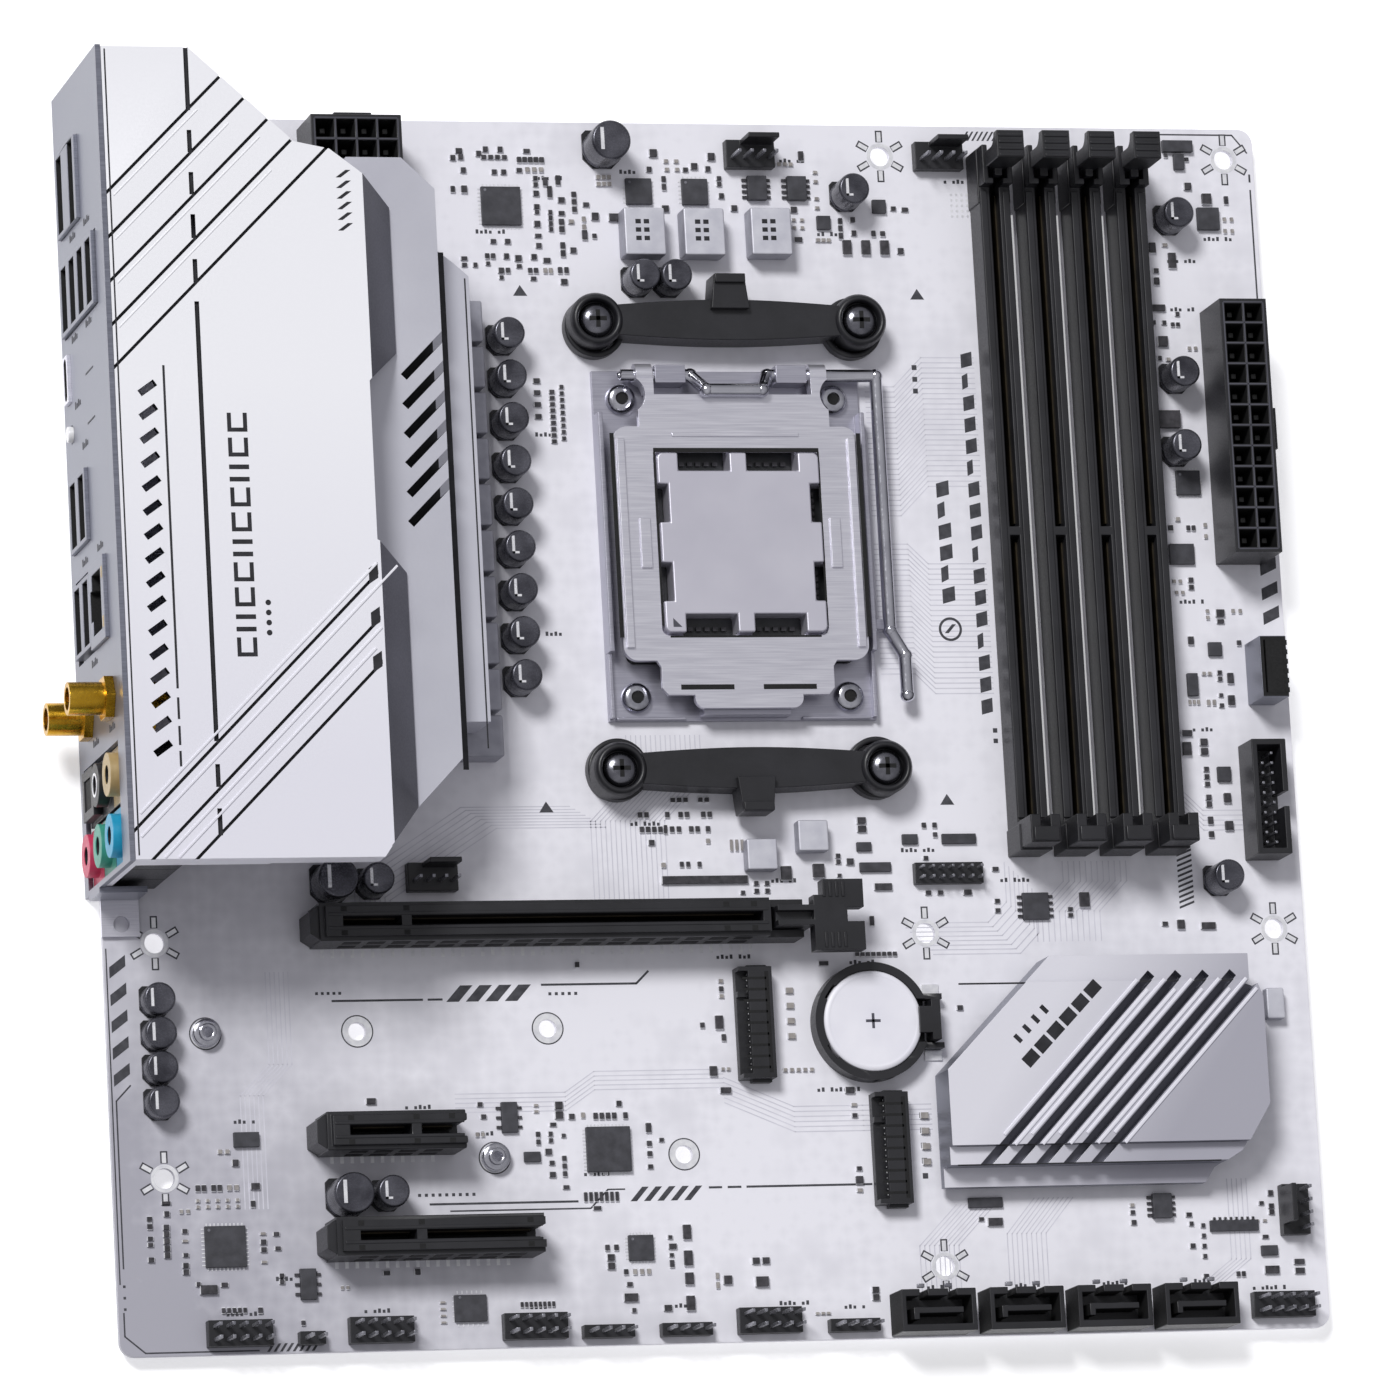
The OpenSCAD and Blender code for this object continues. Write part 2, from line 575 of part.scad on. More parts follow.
// Stepped slab with a chamfered outline, crossed by five slanting grooves
chipset_outline = [[154.5, -51.2], [208.2, -51.2], [210.2, -48.2], [214.6, -45.6], [220.3, -36.6],
    [220.3, -15.2], [219.3, -12.7], [217.9, -12.2], [217.9, -6.5], [176.8, -6.5], [154.5, -28.8]];
module chipset_heatsink() color("silver") difference() {
    union() {
        translate([0, 0, 3.8]) linear_extrude(chipset_z - 3.8) polygon(chipset_outline);
        for (p = [heatsink_screw_points[0], heatsink_screw_points[1]]) post(p, 3, top, 3.9);
    }
    block([150, -52, 6], [225, -47.4, chipset_z + cut]);
    block([150, -47.5, 11], [225, -43.8, chipset_z + cut]);
    block([150, -11.8, chipset_z - 1], [225, -5, chipset_z + cut]);
    for (i = [0:4]) translate([179.6 + 5.65*i, -29, 0]) rotate(46) {
        block([-27, -0.9, chipset_z - 3.4], [26, 0.9, chipset_z + cut]);
    }
    for (p = [heatsink_screw_points[0], heatsink_screw_points[1]]) post(p, 1.25, 0, 7);
}

// Soft pads between the hot chips and the heatsinks
module thermal_pads() color("lightblue") {
    block([186, -32, 3.2], [194, -24, 3.8]);
    block([48.2, 37, 2.6], [54, 121, 3.6]);
    block([61, 41, 8.6], [63.8, 125, 9.6]);
}

module heatsink_screws() color("silver") for (p = heatsink_screw_points) difference() {
    union() {
        post(p, 2.4, -1.6, 0);
        post(p, 1.2, 0, 6);
    }
    block([p.x - 1.5, p.y - 0.3, -2], [p.x + 1.5, p.y + 0.3, -0.9]);
    block([p.x - 0.3, p.y - 1.5, -2], [p.x + 0.3, p.y + 1.5, -0.9]);
}

// ---- power stage heatsink and rear cover ----

vrm_upper_outline = [[38.6, 20.5], [46.2, 20.5], [56, 30.6], [56, 143], [49.6, 149.2], [38.6, 149.2]];
vrm_lower_outline = [[40, 39.2], [63.9, 39.2], [63.9, 127.5], [61, 130.1], [56, 134], [40, 134]];
module vrm_heatsink() color("silver") difference() {
    union() {
        translate([0, 0, vrm_lower_z - 0.5]) {
            linear_extrude(vrm_upper_z - vrm_lower_z + 0.5) polygon(vrm_upper_outline);
        }
        translate([0, 0, 9.6]) linear_extrude(vrm_lower_z - 9.6) polygon(vrm_lower_outline);
        block([44, 37, 3.6], [59.6, 121, 9.7]);
        for (p = [heatsink_screw_points[2], heatsink_screw_points[3]]) post(p, 2.2, top, 3.7);
    }
    for (i = [0:5]) translate([52, 109.5 - 5.8*i, 0]) rotate(45) {
        block([-5.6, -0.8, vrm_lower_z + 0.5], [8, 0.8, vrm_upper_z + cut]);
    }
    for (y = [44:8:124]) block([60, y - 0.8, 12], [65, y + 0.8, 20]);
    for (p = [heatsink_screw_points[2], heatsink_screw_points[3]]) post(p, 1.25, 0, 7);
}

// Top outline of the rear cover, shared by its shell and its hollow
module cover_outline(inset) {
    polygon([[-11.3 + inset, 9.6 + inset], [37 - inset, 9.6 + inset], [38.4 - inset, 11.6 + inset],
        [38.4 - inset, 143.4 - inset], [32.6 - inset, 147.8 - inset], [25.7 - inset, 149.2 - inset],
        [5.7 - inset, 167.6 - inset], [-11.3 + inset, 167.6 - inset]]);
}

// Sloped side panel between the cover's edge and the heatsink's upper step
module cover_slope(plan) {
    intersection() {
        along_y(5, 150) polygon([[38.3, vrm_upper_z], [46.6, vrm_upper_z], [46.6, vrm_upper_z + 0.6],
            [38.9, cover_z], [38.3, cover_z]]);
        linear_extrude(50) polygon(plan);
    }
}

// Grooves in the cover's top: where each slanting one starts, and the dashes along Y
groove_w = 0.6;
groove_depth = 0.7;
cover_grooves = [[-10.1, 140], [-10.1, 131.3], [-10.1, 122.7], [-10.1, 114.2], [-10.1, 105.8],
    [-10.1, 16.3], [-7.9, 9.6], [0.6, 9.6]];
cover_dashes = [[155.1, 168], [146.8, 151.2], [138.5, 142.9], [129.9, 134.6], [121.2, 125.8],
    [32.1, 117.5], [23.3, 27.7], [14, 19.2]];
module io_cover() color("gainsboro") {
    difference() {
        translate([0, 0, 36]) linear_extrude(cover_z - 36) cover_outline(0);
        translate([0, 0, 30]) linear_extrude(cover_z - 1.6 - 30) cover_outline(1.5);
        for (p = cover_grooves) translate([p.x, p.y, 0]) rotate(45) {
            block([-3, -groove_w/2, cover_z - groove_depth], [75, groove_w/2, cover_z + cut]);
        }
        for (y = cover_dashes) {
            block([4.8, y[0], cover_z - groove_depth], [5.7, y[1], cover_z + cut]);
        }
        for (i = [0:15]) translate([-5.1, 30.8 + 4.65*i, 0]) rotate(35) {
            block([-1.9, -0.7, cover_z - 2], [1.9, 0.7, cover_z + cut]);
        }
    }
    cover_slope([[38.2, 102], [46.6, 110], [46.6, 139], [38.2, 143.4]]);
    cover_slope([[38.2, 11.6], [46.6, 21], [46.6, 66.8], [38.2, 71.2]]);
    block([37, 11.6, vrm_upper_z], [38.4, 142, 36]);
    block([-11.3, 9.6, 12], [-9.9, 10.4, 36]);
    block([-11.3, 166.2, 4], [-9.9, 167.6, 36]);
    block([-11.3, 9.6, 35], [16, 11, 36]);
}

// ---- rear panel and its ports ----

// Openings are listed as [y centre, z centre, width, height]
port_windows = [[147.1, 11.4, 16.9, 19.9], [126.2, 18.1, 14.8, 33.3], [110.5, 3.7, 9.6, 4.4],
    [83.2, 9.7, 14.4, 16.5], [62.4, 16.7, 16.4, 30.5], [22, 18.4, 23.4, 33.8]];
module io_shield() color("lightgray") {
    difference() {
        block([panel_x, panel_y, panel_z], [panel_x + panel_t, panel_y + panel_len, panel_z + panel_h]);
        for (w = port_windows) {
            block([panel_x - cut, w[0] - w[2]/2, w[1] - w[3]/2],
                [panel_x + panel_t + cut, w[0] + w[2]/2, w[1] + w[3]/2]);
        }
        for (p = antenna_spots) translate([-20, p[0], p[1]]) rotate([0, 90, 0]) {
            cylinder(r = 3.3, h = 20, $fn = arc_fn);
        }
        translate([-20, button_at[0], button_at[1]]) rotate([0, 90, 0]) {
            cylinder(r = 1.9, h = 20, $fn = arc_fn);
        }
    }
    difference() {
        union() {
            block([panel_x, 8.3, top], [-3, panel_y + 0.2, 11.8]);
            block([-10.4, 1.2, top], [-3, 8.4, top + 1]);
        }
        post([-6.5, 3.6], 1.6, 0, 5);
    }
}

// Metal-shelled USB sockets, stacked at one pitch; origin of a stack is its lowest centre line
usb_pitch = 8.1;
usb_first_z = 5.8;
usb_stacks = [[126.2, 4], [83.2, 2], [62.4, 2]];
module usb_ports() color("silver") for (s = usb_stacks) difference() {
    block([port_front, s[0] - 7.1, top], [4.5, s[0] + 7.1, usb_first_z + usb_pitch*(s[1] - 1) + 3.8]);
    for (i = [0:s[1] - 1]) translate([0, s[0], usb_first_z + usb_pitch*i]) {
        block([port_front - cut, -6.25, -2.55], [2.5, 6.25, 2.55]);
    }
}
module port_tongues() color("dimgray") {
    for (s = usb_stacks, i = [0:s[1] - 1]) translate([0, s[0], usb_first_z + usb_pitch*i]) {
        block([port_front + 0.8, -5.6, 0.3], [2.5, 5.6, 2]);
    }
    block([port_front + 1, 141, 5], [2, 153.2, 6.4]);
    block([port_front + 1, 140.4, 16.6], [2, 153.8, 18]);
    block([port_front + 0.8, 107.8, 3.4], [port_front + 6.5, 113.2, 4]);
}

module display_ports() color("silver") difference() {
    block([port_front, 138.8, top], [6.5, 155.4, 21.2]);
    block([port_front - cut, 139.6, 3], [2, 154.6, 8.2]);
    block([port_front - cut, 139, 14.6], [2, 155.2, 19.4]);
}

module usb_c_port() color("silver") difference() {
    block([port_front, 105.8, top], [-4, 115.2, 5.8]);
    for (y = [107.6, 113.4]) {
        translate([port_front - cut, y, 3.7]) rotate([0, 90, 0]) {
            cylinder(r = 1.3, h = 7.5, $fn = fine_fn);
        }
    }
    block([port_front - cut, 107.6, 2.4], [port_front + 6.5, 113.4, 5]);
}

// Network jack above the lowest USB pair
module network_port() color("silver") difference() {
    block([port_front, 54.3, 17.7], [6.5, 70.5, 31.8]);
    block([port_front - cut, 56.5, 20.6], [0.5, 68.3, 29.2]);
    block([port_front - cut, 59.4, 18.8], [0.5, 65.4, 20.7]);
}

// One housing for each jack; the space below the second column holds the optical port
jack_half_w = 5.6;
jack_half_h = 5.7;
optical_top = 13.4;
module audio_jacks() color("dimgray") for (p = jack_spots) difference() {
    union() {
        block([panel_x + panel_t, p[0] - jack_half_w, max(top, p[1] - jack_half_h)],
            [0.5, p[0] + jack_half_w, min(34.9, p[1] + jack_half_h)]);
        translate([port_front - 0.6, p[0], p[1]]) rotate([0, 90, 0]) {
            cylinder(r = 4.2, h = 4, $fn = arc_fn);
        }
    }
    translate([port_front - 2, p[0], p[1]]) rotate([0, 90, 0]) {
        cylinder(r = 1.8, h = 14, $fn = arc_fn);
    }
    block([panel_x, jack_spots[3][0] - jack_half_w - gap, top - cut], [cut, 40, optical_top + gap]);
}

module optical_port() color("black") difference() {
    union() {
        block([port_front, 23.2, 3.2], [-0.7, 32.8, optical_top]);
        block([panel_x + panel_t, 22.4, top], [0.5, 33.6, optical_top]);
    }
    block([port_front - cut, 25, 5], [-4, 31, 11.4]);
}

// Threaded antenna sockets, each held in the panel by a nut on either side
module antenna_connectors() color("gold") for (p = antenna_spots) translate([0, p[0], p[1]]) {
    difference() {
        union() {
            rotate([0, -90, 0]) cylinder(r = 3.175, h = 21, $fn = arc_fn);
            translate([panel_x, 0, 0]) rotate([0, -90, 0]) cylinder(r = 4.6, h = 1.8, $fn = 6);
            translate([panel_x + panel_t, 0, 0]) rotate([0, 90, 0]) cylinder(r = 4.6, h = 1.8, $fn = 6);
        }
        translate([-24, 0, 0]) rotate([0, 90, 0]) cylinder(r = 2.2, h = 9, $fn = arc_fn);
    }
    translate([-15, 0, 0]) rotate([0, -90, 0]) cylinder(r = 0.5, h = 5, $fn = fine_fn);
}

module bios_button_body() color("dimgray") difference() {
    block([panel_x + panel_t, button_at[0] - 3, top], [-5, button_at[0] + 3, 7.6]);
    translate([panel_x, button_at[0], button_at[1]]) rotate([0, 90, 0]) {
        cylinder(r = 1.7, h = 6, $fn = arc_fn);
    }
}
module bios_button() color("white") {
    translate([port_front - 0.2, button_at[0], button_at[1]]) rotate([0, 90, 0]) {
        cylinder(r = 1.6, h = 5, $fn = arc_fn);
    }
}

// ---- power plugs, headers and small connectors ----

// Box of square cells open at the top; p is the first cell's centre
module power_plug(p, cols, rows, floor_z) {
    lip = 0.7;
    difference() {
        block([p.x - cell_pitch/2 - lip, p.y - cell_pitch/2 - lip, top],
            [p.x + (cols - 0.5)*cell_pitch + lip, p.y + (rows - 0.5)*cell_pitch + lip, top + 13]);
        for (c = [0:cols - 1], r = [0:rows - 1]) {
            block([p.x + cell_pitch*c - 1.8, p.y + cell_pitch*r - 1.8, floor_z],
                [p.x + cell_pitch*c + 1.8, p.y + cell_pitch*r + 1.8, top + 14]);
        }
    }
}
module main_power_connector() color("dimgray") {
    power_plug(main_power_at, 2, 12, 4.2);
    block([main_power_at.x + 7, 95.6, 8], [main_power_at.x + 8.6, 104, 11.4]);
}
module processor_power_connector() color("dimgray") {
    power_plug(cpu_power_at, 4, 2, 4.2);
    block([41, cpu_power_at.y + 7, 8], [48.6, cpu_power_at.y + 8.2, 11.4]);
}

// Every metal pin that stands in a header or a plug cell
fan_base_h = 2.6;
header_h = 2.5;
module pin(x, y, z0, z1, w = pin_w) {
    block([x - w/2, y - w/2, z0], [x + w/2, y + w/2, z1]);
}
module connector_pins() color("gold") {
    for (c = [0:1], r = [0:11]) {
        pin(main_power_at.x + cell_pitch*c, main_power_at.y + cell_pitch*r, 4.2, 12, 1);
    }
    for (c = [0:3], r = [0:1]) {
        pin(cpu_power_at.x + cell_pitch*c, cpu_power_at.y + cell_pitch*r, 4.2, 12, 1);
    }
    for (b = header_blocks, i = [0:b[1] - 1], j = [0:b[2] - 1]) {
        pin(b[0].x + header_pitch*(i + 0.5), b[0].y + header_pitch*(j + 0.5),
            top + header_h, top + header_h + pin_h);
    }
    for (p = fan_blocks, i = [0:3]) {
        pin(p.x + 1.2 + header_pitch*i, p.y + 2, top + fan_base_h, top + fan_base_h + pin_h);
    }
    for (i = [0:3]) {
        pin(side_fan_at.x + 4, side_fan_at.y + 1.2 + header_pitch*i,
            top + fan_base_h, top + fan_base_h + pin_h);
    }
    for (i = [0:6], j = [0:1]) {
        pin(debug_header_at.x + 1 + 2*i, debug_header_at.y + 1.1 + 2*j, top + 2, top + 5, 0.5);
    }
    for (i = [0:9], j = [0:1]) if (i < 9 || j == 1) {
        pin(usb_header_at.x + 2.6 + 2*j, usb_header_at.y + 2.6 + 2*i, top + 1.6, top + 7, 0.5);
    }
}

// Fan plugs: a base with a locking wall along one side
module fan_headers() color("dimgray") {
    for (p = fan_blocks) {
        block([p.x, p.y, top], [p.x + 10, p.y + 5.6, top + fan_base_h]);
        block([p.x + 3, p.y + 4.6, top + fan_base_h], [p.x + 9.4, p.y + 5.6, top + 9]);
    }
    block([side_fan_at.x, side_fan_at.y, top],
        [side_fan_at.x + 5.6, side_fan_at.y + 10, top + fan_base_h]);
    block([side_fan_at.x, side_fan_at.y + 2, top + fan_base_h],
        [side_fan_at.x + 1, side_fan_at.y + 9.4, top + 9]);
}

module pin_headers() color("dimgray") {
    for (b = header_blocks) {
        translate([b[0].x, b[0].y, top]) cube([b[1]*header_pitch, b[2]*header_pitch, header_h]);
    }
    translate([debug_header_at.x, debug_header_at.y, top]) cube([14, 4.2, 2]);
}

// Shrouded front USB header with a polarising gap
module front_usb_header() color("dimgray") translate([usb_header_at.x, usb_header_at.y, top]) {
    difference() {
        cube([7.2, 23.2, 8.6]);
        block([1.2, 1.2, 1.6], [6, 22, 10]);
        block([5, 9.6, 1.6], [8, 12.6, 10]);
    }
}

// Upright front USB-C header: a shell with a centre blade
module front_usb_c_header() color("silver") translate([usb_c_header_at.x, usb_c_header_at.y, top]) {
    difference() {
        cube([5.6, 12.4, 9.4]);
        block([0.9, 0.9, 2], [4.7, 11.5, 11]);
    }
    block([2.4, 1.8, 1.9], [3.2, 10.6, 8.4]);
}

// Upright drive plugs, each a walled box round a blade
module sata_ports() color("dimgray") for (x = sata_xs) translate([x, -79.7, top]) {
    difference() {
        block([0, 0, 0], [sata_w, 8.3, 8.4]);
        block([1, 1.4, 2.2], [sata_w - 1, 6.9, 10]);
        block([3.8, 6, 2.2], [5.4, 9, 10]);
        block([9.6, 6, 2.2], [11.2, 9, 10]);
    }
    block([2.6, 3.6, 2.1], [12.8, 4.8, 7.6]);
    block([2.6, 2.4, 2.1], [3.8, 3.7, 7.6]);
}

// ---- small parts in rows ----

module capacitors() color("dimgray") for (c = all_cans) translate([c[0], c[1], top]) difference() {
    cylinder(r = c[2], h = c[3], $fn = arc_fn);
    translate([0, 0, 1.1]) difference() {
        cylinder(r = c[2] + 1, h = 0.5, $fn = arc_fn);
        translate([0, 0, -cut]) cylinder(r = c[2] - 0.25, h = 3, $fn = arc_fn);
    }
}

module chips() color("darkslategray") {
    for (c = chip_list) chip_body(c);
    for (c = power_stages) chip_body(c);
}

module chokes() color("gray") {
    for (c = vrm_chokes) chip_body(c);
    for (c = other_chokes) chip_body(c);
}

circuit_board();
cpu_backplate();
socket_body();
processor_substrate();
heat_spreader();
socket_frame();
load_plate();
load_lever();
socket_screws();
cooler_bracket_top();
cooler_bracket_bottom();
cooler_bracket_screws();
memory_slot_1();
memory_slot_2();
memory_slot_3();
memory_slot_4();
memory_latch_1();
memory_latch_2();
memory_latch_3();
memory_latch_4();
graphics_slot();
graphics_slot_latch();
short_slot();
medium_slot();
slot_contacts();
drive_socket_upper();
drive_socket_lower();
drive_standoffs();
battery_holder();
coin_cell();
battery_catch();
chipset_heatsink();
chipset_chip();
thermal_pads();
heatsink_screws();
vrm_heatsink();
io_cover();
chips();
chokes();
io_shield();
usb_ports();
port_tongues();
display_ports();
usb_c_port();
network_port();
audio_jacks();
optical_port();
antenna_connectors();
bios_button_body();
bios_button();
main_power_connector();
processor_power_connector();
connector_pins();
fan_headers();
pin_headers();
front_usb_header();
front_usb_c_header();
sata_ports();
capacitors();
solder_joints();
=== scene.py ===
"""A micro-ATX computer motherboard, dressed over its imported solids.

Every sub-assembly is a class that holds its sizes in millimetres and builds its own pieces.
"""

import logging
import math
from dataclasses import dataclass, field
from enum import Enum
from typing import Callable

import bmesh
import bpy
from mathutils import Matrix, Vector


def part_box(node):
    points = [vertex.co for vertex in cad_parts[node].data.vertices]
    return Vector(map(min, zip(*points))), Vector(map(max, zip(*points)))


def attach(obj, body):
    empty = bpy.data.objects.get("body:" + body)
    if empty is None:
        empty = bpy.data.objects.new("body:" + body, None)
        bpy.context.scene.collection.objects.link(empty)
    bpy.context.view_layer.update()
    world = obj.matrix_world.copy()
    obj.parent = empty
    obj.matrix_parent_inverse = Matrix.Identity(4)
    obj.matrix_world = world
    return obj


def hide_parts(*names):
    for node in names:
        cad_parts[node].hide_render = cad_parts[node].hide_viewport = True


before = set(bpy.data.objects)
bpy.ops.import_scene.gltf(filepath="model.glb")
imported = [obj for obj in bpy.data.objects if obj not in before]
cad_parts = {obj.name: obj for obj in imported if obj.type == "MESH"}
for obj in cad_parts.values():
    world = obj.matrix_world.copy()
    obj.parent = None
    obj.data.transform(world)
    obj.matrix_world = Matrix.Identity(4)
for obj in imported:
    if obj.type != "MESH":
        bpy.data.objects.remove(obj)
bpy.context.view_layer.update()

log = logging.getLogger("motherboard")
MM = 0.001
TOP = 1.6
BOARD = "board"

Point = tuple[float, float]
Spot = tuple[float, float, float]


# ---- finishes ----


def linear(code: str) -> tuple[float, float, float, float]:
    """Turns an sRGB hex colour into the linear colour a shader wants.

    Args:
        code: six hex digits with a leading hash.

    Returns:
        Linear red, green, blue and an alpha of one.
    """
    parts = [int(code[i : i + 2], 16) / 255 for i in (1, 3, 5)]
    red, green, blue = (c / 12.92 if c <= 0.04045 else ((c + 0.055) / 1.055) ** 2.4 for c in parts)
    return red, green, blue, 1.0


def add_node(
    tree: bpy.types.NodeTree, kind: str, settings: dict | None = None, links: dict | None = None
) -> bpy.types.Node:
    """Adds one shader node with its settings and links.

    Args:
        tree: the material's node tree.
        kind: the node's type name.
        settings: socket names or node attributes, with their values.
        links: socket names or numbers, with the output each takes its value from.

    Returns:
        The new node.
    """
    node = tree.nodes.new(kind)
    for name, value in (settings or {}).items():
        if isinstance(name, int) or name in node.inputs:
            node.inputs[name].default_value = value
        else:
            setattr(node, name, value)
    for name, source in (links or {}).items():
        tree.links.new(source, node.inputs[name])
    return node


@dataclass(frozen=True)
class Finish:
    """How one material was made and what that gives the eye.

    The colour varies between two hex values with a noise of mottle_mm, the roughness varies
    around its typical value, and a finer noise of grain_mm lifts the surface by bump_mm.
    A brushed metal stretches its grain along X by the factor brushed.
    """

    label: str
    light: str
    dark: str
    roughness: float
    metallic: float = 0.0
    mottle_mm: float = 12.0
    grain_mm: float = 0.6
    bump_mm: float = 0.01
    spread: float = 0.06
    brushed: float = 1.0
    coat: float = 0.0
    glow: float = 0.0

    def material(self) -> bpy.types.Material:
        """Builds the node tree once and returns the material after that."""
        known = bpy.data.materials.get(self.label)
        if known:
            return known
        made = bpy.data.materials.new(self.label)
        made.use_nodes = True
        tree = made.node_tree
        tree.nodes.clear()
        place = add_node(tree, "ShaderNodeTexCoord").outputs["Object"]
        laid = add_node(
            tree, "ShaderNodeMapping", {"Scale": (1 / self.brushed, 1, 1)}, {"Vector": place}
        ).outputs["Vector"]
        mottle = add_node(
            tree, "ShaderNodeTexNoise", {"Scale": 1000 / self.mottle_mm, "Detail": 3.0}, {"Vector": place}
        )
        grain = add_node(tree, "ShaderNodeTexNoise", {"Scale": 1000 / self.grain_mm, "Detail": 2.0}, {"Vector": laid})
        ramp = add_node(tree, "ShaderNodeValToRGB", {}, {"Fac": self.tone(tree, place, mottle, grain)})
        ramp.color_ramp.elements[0].position, ramp.color_ramp.elements[1].position = 0.32, 0.68
        ramp.color_ramp.elements[0].color = linear(self.dark)
        ramp.color_ramp.elements[1].color = linear(self.light)
        rough = add_node(
            tree,
            "ShaderNodeMapRange",
            {
                "From Min": 0.3, "From Max": 0.7, "To Min": max(0.03, self.roughness - self.spread),
                "To Max": self.roughness + self.spread
            },
            {"Value": grain.outputs["Fac"]},
        )
        bump = add_node(
            tree, "ShaderNodeBump", {"Strength": 1.0, "Distance": self.bump_mm * MM}, {"Height": grain.outputs["Fac"]}
        )
        shader = add_node(
            tree,
            "ShaderNodeBsdfPrincipled",
            {
                "Metallic": self.metallic, "Coat Weight": self.coat, "Coat Roughness": 0.15,
                "Emission Color": (1, 1, 1, 1), "Emission Strength": self.glow
            },
            {
                "Base Color": ramp.outputs["Color"], "Roughness": rough.outputs["Result"],
                "Normal": bump.outputs["Normal"]
            },
        )
        add_node(tree, "ShaderNodeOutputMaterial", {}, {"Surface": shader.outputs["BSDF"]})
        return made

    def tone(
        self, tree: bpy.types.NodeTree, place: bpy.types.NodeSocket, mottle: bpy.types.Node, grain: bpy.types.Node
    ) -> bpy.types.NodeSocket:
        """Returns the 0 to 1 value that picks between the dark and the light colour."""
        return mottle.outputs["Fac"]


@dataclass(frozen=True)
class BrushedSheet(Finish):
    """Rolled or ground metal, whose fine lines run one way and carry the tone as well."""

    def tone(
        self, tree: bpy.types.NodeTree, place: bpy.types.NodeSocket, mottle: bpy.types.Node, grain: bpy.types.Node
    ) -> bpy.types.NodeSocket:
        """Returns a tone led by the grinding lines."""
        return grain.outputs["Fac"]


@dataclass(frozen=True)
class MaskedBoard(Finish):
    """Solder mask over copper: inner copper areas show through as faint straight-edged fields. A capped painted
    gradient of light darkens the mask towards low X and low Y.
    """

    cell_mm: float = 9.0
    # painted light: tone added per metre along X and Y, capped, so the mask darkens towards low X and low Y
    painted_light_per_m: Spot = (3.2, 3.0, 0.0)

    def tone(
        self, tree: bpy.types.NodeTree, place: bpy.types.NodeSocket, mottle: bpy.types.Node, grain: bpy.types.Node
    ) -> bpy.types.NodeSocket:
        """Returns the mottle with square-cornered copper fields laid over it, plus the painted gradient of light."""
        fields = add_node(
            tree,
            "ShaderNodeTexVoronoi",
            {"Scale": 1000 / self.cell_mm, "distance": "CHEBYCHEV", "Randomness": 0.8},
            {"Vector": place},
        )
        fine = add_node(
            tree,
            "ShaderNodeTexVoronoi",
            {"Scale": 3200 / self.cell_mm, "distance": "MANHATTAN", "Randomness": 0.6},
            {"Vector": place},
        )
        both = add_node(
            tree, "ShaderNodeMath", {"operation": "MULTIPLY"},
            {0: fields.outputs["Distance"], 1: fine.outputs["Distance"]}
        )
        soft = add_node(
            tree, "ShaderNodeMath", {"operation": "MULTIPLY_ADD", 1: 0.22, 2: 0.36}, {0: mottle.outputs["Fac"]}
        )
        patch = add_node(
            tree, "ShaderNodeMath", {"operation": "MULTIPLY_ADD", 1: 0.12}, {0: both.outputs[0], 2: soft.outputs[0]}
        )
        # painted light: the capped gradient that darkens the mask towards low X and low Y
        fade = add_node(tree, "ShaderNodeVectorMath", {"operation": "DOT_PRODUCT", 1: self.painted_light_per_m}, {0: place})
        kept = add_node(tree, "ShaderNodeMath", {"operation": "MINIMUM", 1: 0.16}, {0: fade.outputs["Value"]})
        return add_node(
            tree, "ShaderNodeMath", {"operation": "ADD"}, {0: patch.outputs[0], 1: kept.outputs[0]}
        ).outputs[0]


@dataclass(frozen=True)
class GradedSheet(Finish):
    """Satin metal whose colour darkens along a line: a painted gradient of light, as a tilted sheet shows under one
    broad light.
    """

    start_mm: Point = (150.0, 0.0)
    run_mm: Point = (78.0, -56.0)

    def tone(
        self, tree: bpy.types.NodeTree, place: bpy.types.NodeSocket, mottle: bpy.types.Node, grain: bpy.types.Node
    ) -> bpy.types.NodeSocket:
        """Returns a tone that falls from one at the start to zero at the end of the run."""
        size = self.run_mm[0] ** 2 + self.run_mm[1] ** 2
        along = (self.run_mm[0] / size / MM, self.run_mm[1] / size / MM, 0)
        shift = add_node(
            tree, "ShaderNodeVectorMath",
            {"operation": "SUBTRACT", 1: (self.start_mm[0] * MM, self.start_mm[1] * MM, 0)}, {0: place}
        )
        how_far = add_node(
            tree, "ShaderNodeVectorMath", {"operation": "DOT_PRODUCT", 1: along}, {0: shift.outputs["Vector"]}
        )
        return add_node(
            tree, "ShaderNodeMath", {"operation": "SUBTRACT", 0: 1.0}, {1: how_far.outputs["Value"]}
        ).outputs[0]


